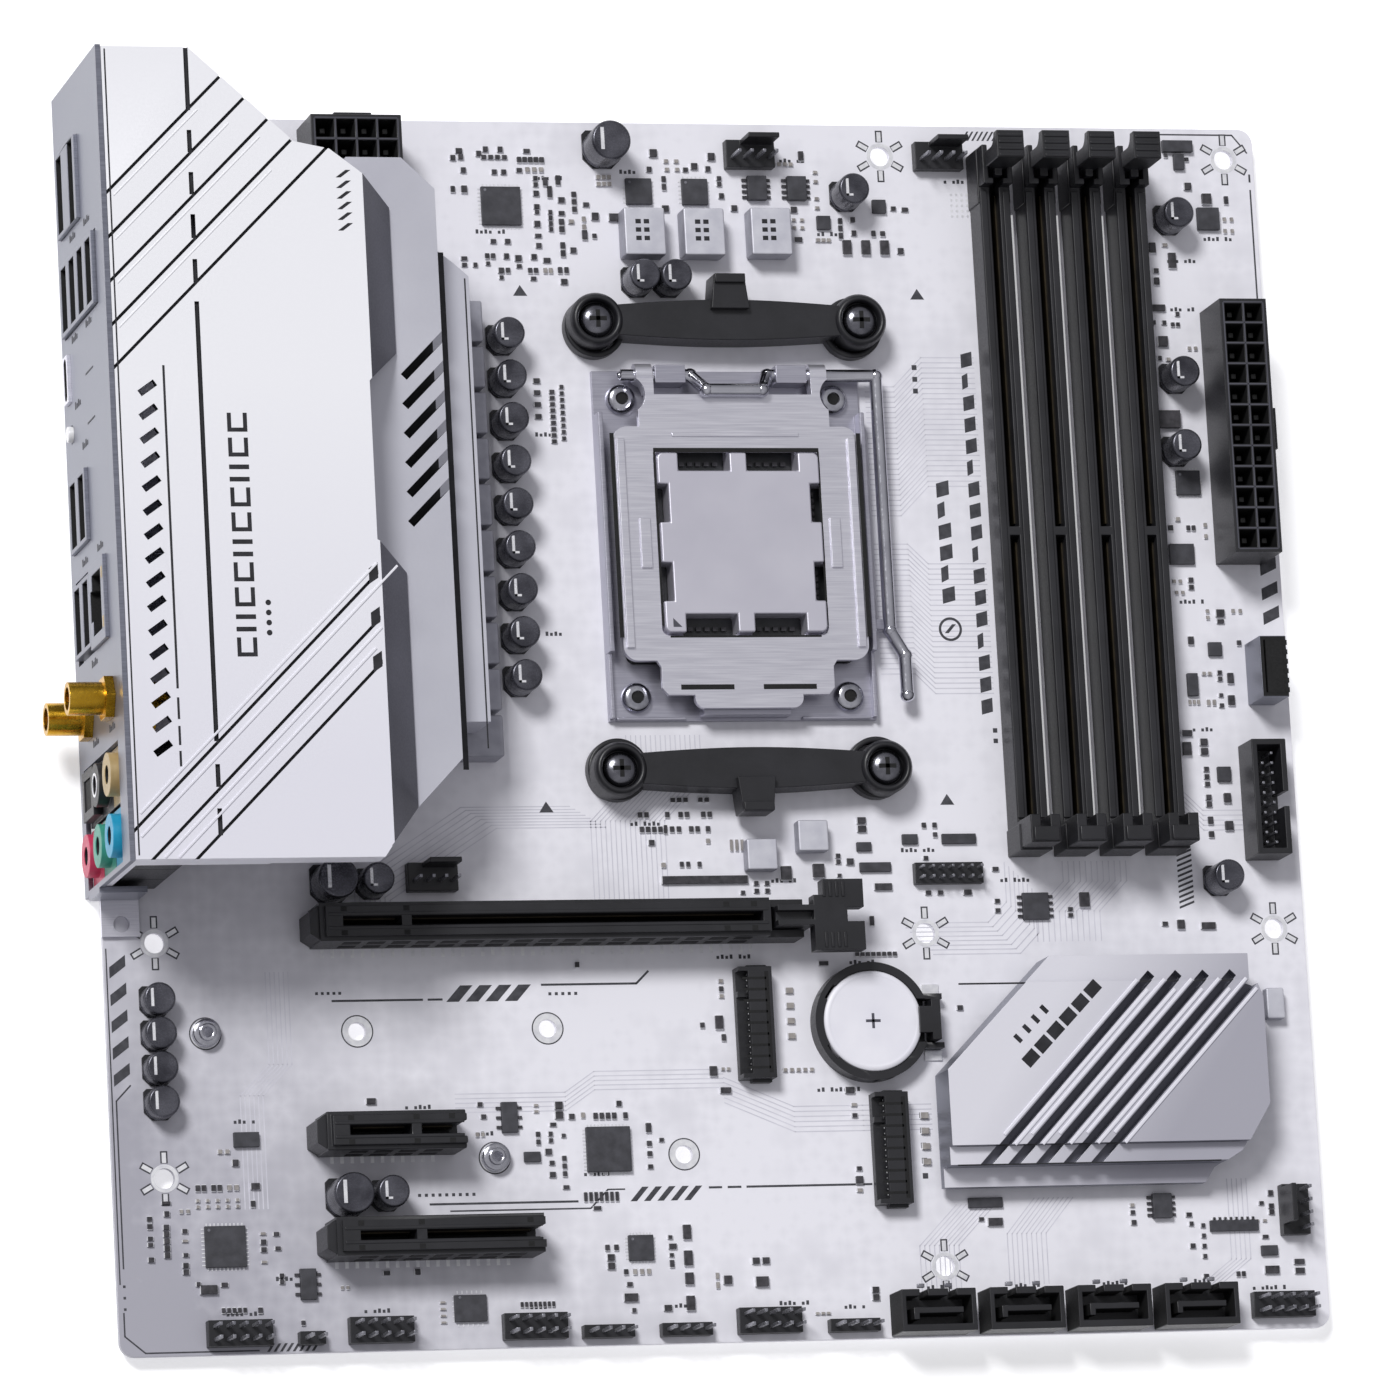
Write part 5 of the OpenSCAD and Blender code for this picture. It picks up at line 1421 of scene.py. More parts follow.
@dataclass
class RearCover:
    """The large silver cover over the rear connectors."""

    top_z: float = 42.0
    slope_low: float = 30.0
    slope_x: float = 38.1
    front_y: float = 9.8
    vent_x: Point = (-8, -2.4)
    vent_y: Point = (28, 104)

    def build(self) -> None:
        """Builds the cover with dark grooves, vents and slopes, then the marks on its face."""
        cover = Shape.of_node("io_cover").bevel(0.16, 2)
        cover.paint(Look.GROOVE, self.in_groove)
        cover.paint(Look.GREY_COAT, self.on_slope)
        cover.stand_in("io_cover", Look.COAT, "silver_coated_aluminium")
        self.marks()
        self.bands()

    def in_groove(self, mid: Vector, normal: Vector) -> bool:
        """Whether a face lines a groove or a vent."""
        in_top = mid.x < self.slope_x - 0.2 and mid.y > self.front_y
        if in_top and within(mid.z, self.top_z - 0.75, self.top_z - 0.2):
            return True
        # painted shade: the walls of the vents, which cut through into the cover's hollow, are painted dark
        in_vent = within(mid.x, *self.vent_x) and within(mid.y, *self.vent_y)
        return in_vent and within(mid.z, self.top_z - 2.1, self.top_z - 0.02) and normal.z < 0.95

    def on_slope(self, mid: Vector, normal: Vector) -> bool:
        """Whether a face belongs to the slope beside the stepped heatsink."""
        return within(mid.z, self.slope_low - 0.2, self.top_z - 0.2) and mid.x > self.slope_x and normal.x > 0.3

    def marks(self) -> None:
        """Prints plain blocks, dots and strokes where a maker would print a name."""
        ink = Shape()
        low, high = self.top_z, self.top_z + 0.03
        ink.line([(-1.8, 42.4), (-1.8, 104.9)], 0.45, low, high)
        for y0, y1 in ((36.5, 40.5), (31.5, 35.0), (27.4, 30.2)):
            ink.line([(-1.8, y0), (-1.8, y1)], 0.45, low, high)
        for index in range(10):
            y = 48.4 + index * 4.85
            if index % 3 == 1:
                ink.box((10.1, y, low), (14.0, y + 0.9, high))
                ink.box((10.1, y + 2.4, low), (14.0, y + 3.3, high))
            else:
                ink.box((10.1, y, low), (10.9, y + 3.7, high))
                ink.box((13.2, y, low), (14.0, y + 3.7, high))
                ink.box((10.9, y, low), (13.2, y + 0.8, high))
        for index in range(4):
            ink.rod((16.5, 53.0 + index * 1.95, low), 0.55, 0.03, sides=14)
        for index in range(6):
            y = 131.6 + index * 2.1
            ink.prism([(33.6, y), (34.6, y), (36.6, y + 1.5), (35.6, y + 1.5)], low, high)
        for index in range(3):
            y = 45.2 + index * 8.6
            ink.prism([(36.4, y), (38.2, y + 1.2), (38.2, y + 4.2), (36.4, y + 3)], low, high)
        ink.line([(-10.6, 167), (-10.6, 10.4)], 0.3, low, high)
        ink.piece("io_cover_marks", Look.GROOVE, "silver_coated_aluminium")

    def bands(self) -> None:
        """Adds fine raised ribs beside the lower grooves and soft facets between the upper ones."""
        ribs = Shape()
        for x, y, run in ((-10.0, 18.4, 48), (-10.0, 13.9, 52), (-5.6, 9.9, 44), (-2.9, 9.9, 40)):
            ribs.line([(x, y), (x + run, y + run)], 0.45, self.top_z - 0.02, self.top_z + 0.2)
        for x, y, run in ((-10.0, 138.2, 17), (-10.0, 129.6, 23), (-10.0, 121.0, 29), (-10.0, 112.4, 31)):
            ribs.line([(x, y), (x + run, y + run)], 0.3, self.top_z - 0.02, self.top_z + 0.12)
        ribs.bevel(0.08, 2)
        ribs.piece("io_cover_ribs", Look.COAT, "silver_coated_aluminium")


@dataclass
class RearPanel:
    """The rear panel, its ports and their tongues."""

    front: float = -13.2
    barrel_r: float = 4.5
    usb_half: float = 6.6
    usb_tops: tuple[Point, ...] = ((126.2, 33.2), (83.2, 17.0), (62.4, 17.0))
    jacks: list[tuple[float, float, "Look"]] = field(
        default_factory=lambda: [
            (16.2, 7.0, Look.PINK), (16.2, 18.5, Look.GREEN), (16.2, 30.0, Look.BLUE), (28.0, 18.5, Look.NYLON),
            (28.0, 30.0, Look.TAN)
        ]
    )

    def build(self) -> None:
        """Builds the shield and each port."""
        shield = Shape.of_node("io_shield").bevel(0.12)
        # painted light: the bottom tab, the same sheet as the panel, takes the lighter steel where it faces up to the
        # light
        shield.paint(Look.STEEL, lambda mid, normal: mid.x > -11.3 and mid.z < 3.2)
        shield.stand_in("io_shield", Look.PANEL, "panel_steel")
        self.shells()
        self.audio()
        eased("port_tongues", Look.NYLON, "black_nylon", 0.08)
        eased("antenna_connectors", Look.GOLD, "gold_plate", 0.08)
        self.threads()
        eased("bios_button_body", Look.NYLON, "black_nylon", 0.12)
        eased("bios_button", Look.BUTTON, "white_button", 0.25, "bios_button")
        self.legends()

    def shells(self) -> None:
        """Builds the metal port shells with their insides in shadow and folded springs on their sides."""

        def inside(y: float, half: float, low: float, high: float) -> Callable[[Vector, Vector], bool]:
            """Returns a test for faces inside a port's mouth.

            Args:
                y: the port's middle.
                half: half its width.
                low: the mouth's lower edge.
                high: its upper edge.

            Returns:
                The test.
            """
            return lambda mid, normal: mid.x > self.front + 0.4 and abs(mid.y - y) < half and low < mid.z < high

        usb = Shape.of_node("usb_ports").bevel(0.12)
        for y, top in self.usb_tops:
            usb.paint(Look.RECESS, inside(y, self.usb_half, TOP + 1.2, top))
        usb.stand_in("usb_ports", Look.PANEL, "stamped_steel")
        display = Shape.of_node("display_ports").bevel(0.12)
        display.paint(Look.RECESS, inside(147.1, 8.15, 2.4, 20))
        display.stand_in("display_ports", Look.PANEL, "stamped_steel")
        small = Shape.of_node("usb_c_port").bevel(0.08)
        small.paint(Look.RECESS, inside(110.5, 4.5, 2.2, 5.2))
        small.stand_in("usb_c_port", Look.STEEL, "stamped_steel")
        network = Shape.of_node("network_port").bevel(0.12)
        network.paint(Look.RECESS, inside(62.4, 6.5, 18.2, 30))
        network.stand_in("network_port", Look.PANEL, "stamped_steel")
        lamps = Shape()
        for y in (57.6, 67.2):
            lamps.box((self.front - 0.05, y - 1.1, 29.9), (self.front + 0.3, y + 1.1, 31.1))
        lamps.piece("network_port_lamps", Look.TAN, "white_button")

    def audio(self) -> None:
        """Builds the jacks with coloured barrels, and the optical port with its shutter."""
        block = Shape.of_node("audio_jacks").bevel(0.15)
        for y, z, look in self.jacks:
            block.paint(
                look, lambda mid, normal, y=y, z=z: mid.x < -9.9 and math.hypot(mid.y - y, mid.z - z) < self.barrel_r
            )
        block.stand_in("audio_jacks", Look.NYLON, "black_nylon")
        rings = Shape()
        for y, z, look in self.jacks[3:4]:
            rings.turned(
                (-13.9, y, z), [(1.85, 0), (2.35, 0), (2.35, 0.4), (1.85, 0.4), (1.85, 0)], axis="X", sides=28
            )
        rings.piece("audio_jack_collars", Look.TIN, "solder")
        eased("optical_port", Look.NYLON, "black_nylon", 0.12)
        shutter = Shape()
        shutter.box((-12.9, 25.1, 5.1), (-12.6, 30.9, 11.3)).bevel(0.1)
        shutter.piece("optical_port_shutter", Look.RECESS, "black_nylon")

    def threads(self) -> None:
        """Adds turned thread crests to the antenna sockets."""
        crests = Shape()
        for z in (9.5, 31.0):
            for step in range(12):
                crests.turned((-20.6 + step * 0.55, 42.5, z), [(3.1, 0), (3.17, 0.2), (3.1, 0.4)], axis="X", sides=36)
        crests.piece("antenna_thread_crests", Look.GOLD, "gold_plate")

    def legends(self) -> None:
        """Prints short plain strokes beside the ports."""
        ink = Shape()
        x0, x1 = -12.46, -12.4
        for y, z in (
            (136.4, 10), (136.4, 24), (116.8, 8), (116.8, 22), (103.6, 8.5), (94.5, 14), (72.4, 9), (72.4, 24),
            (51.6, 14), (36.4, 12), (36.4, 28)
        ):
            for step in range(4):
                ink.box((x0, y, z + step * 1.5), (x1, y + (0.9 if step % 2 else 1.4), z + step * 1.5 + 0.9))
        for y in (98.2, 107.9):
            ink.box((x0, y, 20), (x1, y + 0.35, 27))
        ink.piece("io_shield_legends", Look.INK, "panel_steel")


# ---- plugs, headers and small parts ----


@dataclass
class PowerPlugs:
    """The two power plugs, the headers and the drive sockets."""

    pitch: float = 4.2
    cell_half: float = 1.86

    def build(self) -> None:
        """Builds the plugs with dark cells, the headers and their pins."""
        self.plug("main_power_connector", (222.9, 76.7), 2, 12)
        self.plug("processor_power_connector", (38.4, 154.7), 4, 2)
        pins = Shape.of_node("connector_pins").bevel(0.05)
        # painted shade: pins inside the plugs are made near black
        pins.paint(
            Look.RECESS, lambda mid, normal: (mid.x > 220 and mid.y > 72) or (within(mid.x, 30, 56) and mid.y > 148)
        )
        pins.stand_in("connector_pins", Look.PIN, "gold_plate")
        eased("fan_headers", Look.NYLON, "black_nylon", 0.15)
        eased("pin_headers", Look.NYLON, "black_nylon", 0.12)
        eased("front_usb_header", Look.NYLON, "black_nylon", 0.2)
        self.side_socket()
        self.drives()
        eased("solder_joints", Look.TIN, "solder", 0.05)

    def plug(self, node: str, first: Point, columns: int, rows: int) -> None:
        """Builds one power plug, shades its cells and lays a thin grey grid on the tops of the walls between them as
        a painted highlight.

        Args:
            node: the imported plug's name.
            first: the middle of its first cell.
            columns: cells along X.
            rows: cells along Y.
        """
        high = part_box(node)[1] / MM
        body = Shape.of_node(node).bevel(0.14)

        def in_cell(mid: Vector, normal: Vector) -> bool:
            """Whether a face lies inside one of the plug's cells."""
            across = any(abs(mid.x - first[0] - self.pitch * step) < self.cell_half for step in range(columns))
            along = any(abs(mid.y - first[1] - self.pitch * step) < self.cell_half for step in range(rows))
            return across and along and within(mid.z, TOP + 1, high.z - 0.25)

        body.paint(Look.RECESS, in_cell)
        body.stand_in(node, Look.NYLON, "black_nylon")
        # painted highlight: a thin grey grid on the tops of the cell walls, where light catches them
        rims = Shape()
        last = (first[0] + self.pitch * (columns - 1), first[1] + self.pitch * (rows - 1))
        foot, head = high.z, high.z + 0.02
        for column in range(columns + 1):
            x = first[0] + self.pitch * (column - 0.5)
            rims.box((x - 0.12, first[1] - 2.0, foot), (x + 0.12, last[1] + 2.0, head))
        for row in range(rows + 1):
            y = first[1] + self.pitch * (row - 0.5)
            rims.box((first[0] - 2.0, y - 0.12, foot), (last[0] + 2.0, y + 0.12, head))
        rims.piece(node + "_cell_rim_highlights", Look.GREY_COAT, "black_nylon")

    def side_socket(self) -> None:
        """Builds the metal front-panel socket with contact windows along one side."""
        shell = Shape.of_node("front_usb_c_header").bevel(0.15)
        low, high = (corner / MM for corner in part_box("front_usb_c_header"))
        middle, reach = (low.y + high.y) / 2, (high.y - low.y) / 2 - 0.7

        def in_mouth(mid: Vector, normal: Vector) -> bool:
            """Whether a face lies inside the socket's mouth."""
            return abs(mid.y - middle) < reach and within(mid.x, low.x + 0.7, high.x - 0.7) and mid.z > 2.4

        shell.paint(Look.RECESS, in_mouth)
        shell.stand_in("front_usb_c_header", Look.PANEL, "stamped_steel")
        trim = Shape()
        for step in range(6):
            y = low.y + 1.4 + step * (high.y - low.y - 2.8) / 5
            trim.box((high.x - 0.75, y - 0.5, high.z), (high.x + 0.12, y + 0.5, high.z + 0.12))
        trim.box((low.x + 1.2, low.y + 0.8, high.z - 0.6), (high.x - 0.9, high.y - 0.8, high.z + 0.05))
        trim.piece("front_usb_c_header_core", Look.RECESS, "black_nylon")

    def drives(self) -> None:
        """Builds the drive sockets with shaded mouths and keyed tongues."""
        body = Shape.of_node("sata_ports").bevel(0.18)
        body.paint(
            Look.RECESS,
            lambda mid, normal: within(mid.z, TOP + 0.6, 8.2) and normal.z < 0.95 and within(mid.y, -78.6, -71.6)
        )
        body.stand_in("sata_ports", Look.NYLON, "black_nylon")
        clips = Shape()
        for index in range(4):
            x = 143.2 + index * 17.95
            for side in (4.6, 10.2):
                clips.box((x + side - 0.7, -71.0, 7.5), (x + side + 0.7, -70.2, 8.4))
        clips.bevel(0.1)
        clips.piece("sata_port_clips", Look.PIN, "solder")


# x, y, and then, where they differ from a Run's own defaults, its other fields in order
Row = tuple[float, ...]


@dataclass
class Run:
    """A straight run of equal small parts, in millimetres."""

    x: float
    y: float
    wide: float = 1.1
    deep: float = 1.1
    count: int = 1
    dx: float = 0.0
    dy: float = 0.0


@dataclass
class SmallParts:
    """Can capacitors and the many small parts soldered to the board."""

    can_spots: list[tuple[float, float, float, float]] = field(
        default_factory=lambda: [(74.8, 119.3 - 8.56 * i, 3.15, 8.0) for i in range(9)]
        + [(-0.5, -11.5 - 6.65 * i, 3.15, 5.5) for i in range(4)]
        + [(97.3, 158.2, 4.0, 9.0), (35.0, 11.0, 4.0, 9.0), (35.2, -50.3, 4.0, 9.0)]
        + [
            (x, y, 3.15, 8.0)
            for x, y in (
                (103, 131.2), (109.5, 131.2), (43.2, 11), (43.2, -50), (147, 149), (214.6, 144.7), (213.7, 112),
                (213.1, 97), (216.2, 9.7)
            )
        ]
    )

    def build(self) -> None:
        """Builds the cans and the scattered parts."""
        self.cans()
        self.bodies("upper_regulator_parts", Look.CERAMIC, self.upper())
        self.bodies("right_edge_parts", Look.CERAMIC, self.right_edge())
        self.bodies("socket_side_parts", Look.CERAMIC, self.below_socket())
        self.bodies("audio_corner_parts", Look.CERAMIC, self.audio_corner())
        self.bodies("lower_middle_parts", Look.CERAMIC, self.lower_middle())
        self.bodies("lower_right_parts", Look.CERAMIC, self.lower_right())
        self.bodies("pale_parts", Look.PALE, self.pale())

    def cans(self) -> None:
        """Builds each can with a base, a rolled neck, a printed top and a bare stripe."""
        cans, stripes, bases, faint = Shape(), Shape(), Shape(), Shape()
        for x, y, r, tall in self.can_spots:
            cans.turned(
                (x, y, TOP + 0.5),
                [
                    (0, 0), (r - 0.1, 0), (r, 0.15), (r, 0.7), (r - 0.35, 1.0), (r - 0.35, 1.25), (r, 1.55),
                    (r, tall - 1.0), (r - 0.25, tall - 0.62), (r - 0.6, tall - 0.52), (r - 0.72, tall - 0.6),
                    (0, tall - 0.6)
                ],
                sides=36,
            )
            side = r * 0.97
            bases.prism(
                [
                    (x - side, y - side * 0.5), (x - side * 0.5, y - side), (x + side * 0.5, y - side),
                    (x + side, y - side * 0.5), (x + side, y + side * 0.8), (x + side * 0.8, y + side),
                    (x - side * 0.8, y + side), (x - side, y + side * 0.8)
                ],
                TOP,
                TOP + 0.55,
            )
            top = TOP + tall - 0.1
            stripes.box((x - r * 0.55, y - r * 0.5, top), (x - r * 0.37, y + r * 0.62, top + 0.04))
            if r < 3.5 and tall > 6:
                stripes.box((x - r * 0.55, y - r * 0.5, top), (x - r * 0.1, y - r * 0.36, top + 0.04))
            for step in range(4):
                faint.box(
                    (x + r * 0.02, y + r * (0.42 - 0.28 * step), top),
                    (x + r * 0.45, y + r * (0.49 - 0.28 * step), top + 0.03)
                )
        cans.paint(Look.CAN_TOP, lambda mid, normal: normal.z > 0.9 and mid.z > TOP + 4)
        cans.piece("capacitor_cans", Look.CAN, "can_sleeve", BOARD, ("capacitors",))
        stripes.piece("capacitor_stripes", Look.STRIPE, "can_sleeve")
        bases.piece("capacitor_bases", Look.NYLON, "black_nylon")
        faint.piece("capacitor_ratings", Look.CAN, "can_sleeve")

    def bodies(self, name: str, look: Look, rows: list[Row]) -> None:
        """Builds small chip parts with a tin cap on each end.

        Args:
            name: the piece's name.
            look: the finish of their bodies.
            rows: the runs they stand in.
        """
        parts, caps = Shape(), Shape()
        for run in (Run(*row) for row in rows):
            for index in range(run.count):
                x, y = run.x + run.dx * index, run.y + run.dy * index
                tall = 0.35 + 0.28 * min(run.wide, run.deep)
                hx, hy = run.wide / 2 - 0.07, run.deep / 2 - 0.07
                parts.box((x - hx, y - hy, TOP), (x + hx, y + hy, TOP + tall))
                cap = 0.14
                if run.wide >= run.deep:
                    caps.box((x - hx - cap, y - hy - 0.05, TOP), (x - hx + 0.02, y + hy + 0.05, TOP + tall * 0.7))
                    caps.box((x + hx - 0.02, y - hy - 0.05, TOP), (x + hx + cap, y + hy + 0.05, TOP + tall * 0.7))
                else:
                    caps.box((x - hx - 0.05, y - hy - cap, TOP), (x + hx + 0.05, y - hy + 0.02, TOP + tall * 0.7))
                    caps.box((x - hx - 0.05, y + hy - 0.02, TOP), (x + hx + 0.05, y + hy + cap, TOP + tall * 0.7))
        parts.piece(name, look, "black_epoxy")
        caps.piece(name + "_caps", Look.TIN, "solder")

    def upper(self) -> list[Row]:
        """Parts of the regulator above the socket."""
        return [
            (68.2, 157.7, 1.4), (66.9, 156.3), (68.5, 156.5), (73.6, 158.1), (72.2, 157.2), (76.6, 158.1),
            (73.2, 156.5, 1.1, 0.9, 4, 1.4), (80.4, 156, 0.95, 1.2, 5, 1.15), (82, 157.8, 1.4, 0.9),
            (80.3, 153.9, 1.2, 0.9), (75.2, 153.5, 1.1, 1, 2, 1.9), (68.9, 153.8), (68.9, 149.9, 1.2, 1.5),
            (66.6, 149.9, 0.9, 1.3), (83.5, 152.3, 1, 0.9, 2, 0, -1.3), (83.5, 149.2, 1.2, 1.1),
            (83.5, 146.5, 1.2, 1), (83.5, 145.4, 1, 0.8), (83.4, 143, 1.3, 1.2), (83.5, 140.6, 1.4, 0.8),
            (83.5, 138.6, 1.2, 1), (85.5, 151.6, 1, 1.8), (88.1, 151.9, 1, 2), (86.3, 149.5, 1, 2.4),
            (88.6, 147.9, 1.4, 1.1), (88.5, 145.2, 1.3, 0.9), (86.2, 145.4, 0.9, 0.9, 4, 0, -1.15),
            (88.4, 143.4, 1.1, 1.3, 2, 0, -1.5), (91.2, 149, 1, 1.2, 3, 0, -1.5), (93.6, 147, 1.3, 0.9),
            (95.3, 144.6, 1.5, 1.5), (93, 140.8, 1.1, 2), (95, 140.6, 0.9, 1), (90.5, 137.7, 1.3, 1.1),
            (88.4, 138.6, 1, 1.4, 2, 0, -1.6), (87.6, 133.6, 0.9, 1.3, 2, 1.3), (88.3, 131.3, 1.4, 1.1),
            (99.3, 144.4, 2.4, 1.6), (74.3, 139.4, 1.2, 0.9), (77.2, 139.4, 1.2, 1), (72.9, 136.4, 0.9, 1.1, 2, 1.2),
            (76.8, 136.4, 1.1, 1.1), (79.2, 136, 1.4, 1.2), (82.4, 136.3, 1.2, 1.1), (85, 135.6, 1.5, 1),
            (68.2, 135.9, 1.3, 0.8), (68.2, 134.6, 1.1, 0.8), (70.4, 134.6, 0.9, 0.9), (73, 134.9, 0.9, 0.8),
            (75.6, 133.5, 1.2, 1.1), (77, 133.5, 0.9, 1.1), (75.6, 132.1, 0.9, 0.8), (79.3, 134.4, 1.1, 0.8),
            (81.5, 133.5, 0.9, 1.1, 2, 1.2), (82.1, 131.9, 1.2, 0.8), (107.9, 157.6, 1.6, 1.6), (106.9, 154.3),
            (116.2, 155, 1.4, 1.3), (114.4, 154.3, 1.1, 0.9), (119.8, 157, 1.5, 1.5), (119, 154.5),
            (109.8, 152.3, 0.9, 1.3, 2, 0, -1.6), (109.8, 146.3, 1.5, 1.3), (121.2, 152.6, 1, 0.9, 2, 0, -1.2),
            (121.5, 149, 1.1, 1.1), (124, 146.5, 1.3, 1.2), (138.4, 157.3, 1.1, 2), (136.3, 146.3, 1.4, 1.2),
            (136.9, 140.2, 1.7, 1), (157, 146.7, 1.1, 0.9), (159.4, 146.5, 1.4, 0.9),
            (145.8, 144, 0.9, 1.3, 3, 0, -1.5), (148.4, 144.3), (148.5, 141.6), (152.6, 141.5, 0.9, 1.3),
            (154.5, 141.5, 1, 1.1), (146.9, 138.6, 1.8, 3, 3, 3.9), (158, 138, 1.3, 1.2),
            (84.6, 109, 1.1, 0.8, 9, 0, -1.25), (86.6, 110, 0.9, 0.8, 9, 0, -1.3), (81.6, 111.2, 1.4, 1, 4, 0, -2.4),
        ]

    def right_edge(self) -> list[Row]:
        """Parts between the memory slots and the right edge."""
        return [
            (223, 149.2, 2, 2.2), (219.2, 151.8, 1.5, 1.5), (227.2, 149, 0.9, 1.7), (215, 158.2, 0.8, 0.9),
            (219.4, 157.4, 0.8, 0.9), (210.9, 139, 1.4, 2.2), (214.9, 136.4, 1.6, 3.2), (211.4, 134.3, 1.1, 1),
            (211.4, 132.1, 1.1, 1.6), (211.4, 126.6, 2.8, 1.4), (215.3, 125.4, 0.9, 0.9),
            (210.2, 123.6, 0.9, 0.9, 2, 2.2), (214.2, 123.2, 0.8, 0.9, 2, 1.1), (211.8, 119.7, 2.1, 2.1),
            (211, 116.3, 0.9, 0.9), (212, 103.6, 4.6, 3.6), (211, 81.4, 1, 1.2), (214.7, 81.4, 0.8, 1.1, 2, 1.1),
            (214.5, 70.8, 1.1, 1, 2, 0, -1.5), (220.2, 64, 1.8, 1.5), (220.2, 62.3, 1.5, 0.9),
            (213.7, 58.4, 1.2, 1.7), (223.8, 57.9, 0.9, 1.1), (219.3, 51.9, 1, 0.9, 2, 0, -1.3),
            (221.5, 50.7, 1.3, 2.2), (219.3, 47.3, 0.9, 0.8), (219.3, 45.2, 1, 0.9), (221.4, 46.2, 1.4, 2.1),
            (211.6, 39.6, 2.2, 1.3), (211.4, 36.4, 1.8, 2.8), (215, 37.8, 1.6, 1.4, 2, 0, -1.9),
            (215.2, 32.3, 1.1, 1, 3, 0, -1.5), (215.3, 26.6, 1.2, 1.1, 2, 0, -1.4), (219.2, 26.4, 1.5, 2),
            (215.4, 21.9, 1.1, 1.6), (215.4, 19.1, 1.1, 1.3), (219.2, 20.8, 1.7, 1.9),
            (185, 4.4, 1.1, 0.8, 2, 0, -1.2), (188, 6.2, 2, 3), (207.8, 1, 1.5, 1.9), (204.5, 1.2, 1.2, 0.9),
            (213.5, 0.7, 3, 1.4), (170, 12.6, 1.3, 0.9), (170, 6.2, 1.1, 0.9), (170, 4.3, 1.1, 0.9),
        ]

    def below_socket(self) -> list[Row]:
        """Parts below the lower cooler bracket."""
        return [
            (104.8, 27, 0.9, 1, 3, 1.3), (110.4, 27, 0.9, 1, 2, 1.3), (98, 24.1, 0.9, 1.2, 2, 1.3),
            (103.5, 24.1, 0.9, 1.2), (106.2, 24.1, 0.9, 1.2, 2, 1.3), (110.8, 24.1, 0.9, 1.2, 2, 1.3),
            (98.2, 21.2, 0.9, 1.2, 4, 1.25), (103, 21.2, 0.7, 1.8), (104.3, 21.2, 0.9, 1.2, 2, 1.4),
            (108.2, 21.2, 0.9, 1.2, 2, 1.3), (111.6, 21.2, 0.9, 1.2), (100, 18.6, 1.2, 1.1),
            (105.9, 14.2, 0.8, 1.1, 2, 1.3), (109.5, 14.2, 0.8, 1.1), (110.4, 11.1, 17.4, 1.6),
            (127, 12.2, 2.1, 2.8), (133.6, 12.6, 2.3, 2.8), (120.8, 10.3, 1, 0.9, 2, 0, -1.5),
            (123, 10.3, 1, 0.9, 2, 0, -1.5), (118, 8.5, 0.9, 0.8), (143, 22.6, 1.8, 1.3, 2, 0, -1.7),
            (137.8, 15.6, 1, 0.9, 2, 0, -1.2), (140.2, 14.4, 1.5, 1.3), (137.9, 11.7, 0.9, 0.7),
            (146.7, 9.3, 3.6, 1.4), (155.8, 21.5, 0.9, 1.1, 2, 2.2), (158, 19.6, 0.9, 1), (155.8, 15, 1, 0.8),
            (155.9, 8, 1.2, 0.9, 2, 2.5), (164, 8, 1.7, 1.1), (144, 2.5, 0.9, 2),
        ]

    def audio_corner(self) -> list[Row]:
        """Parts round the audio chip in the lower left corner."""
        return [
            (41.2, -31.5, 1.9, 1.2), (13.9, -43, 1.3, 1.3), (6.3, -47.8, 0.9, 1.3, 2, 1.2),
            (9.4, -47.8, 0.9, 1.3, 2, 1.2), (17.6, -47.6, 1.8, 1.3), (17, -51, 0.9, 1.3), (0, -50.5, 1.8, 0.7),
            (0, -52.6, 1.1, 1.1), (-0.2, -55.2, 1.2, 1.1, 5, 0, -1.35), (-3.4, -53.6, 1, 1.1, 2, 0, -1.4),
            (-3.4, -57.3, 1.1, 0.8, 2, 0, -1.2), (-3.4, -61.4, 1.2, 1), (3.4, -56, 1.1, 0.9), (3.4, -60.6, 1.1, 0.8),
            (3.3, -62.6, 1.2, 1, 2, 0, -1.3), (18.7, -58.4, 1.2, 1, 2, 0, -1.5), (21.3, -56.9, 1.2, 0.8),
            (21.5, -59.7, 1.2, 0.8), (7.6, -67.4, 3.4, 1.8), (5.6, -66.3, 0.9, 0.9), (10.7, -66.5, 1.4, 0.9),
            (22, -65, 1, 0.9, 2, 0, -1.2), (10.3, -71.5, 0.7, 1.1, 5, 1.05), (17.5, -71.6, 0.9, 1.2),
            (25.8, -74.2, 0.8, 1), (42.7, -65, 1.4, 0.9), (48.8, -64.9, 1.2, 1.2),
        ]

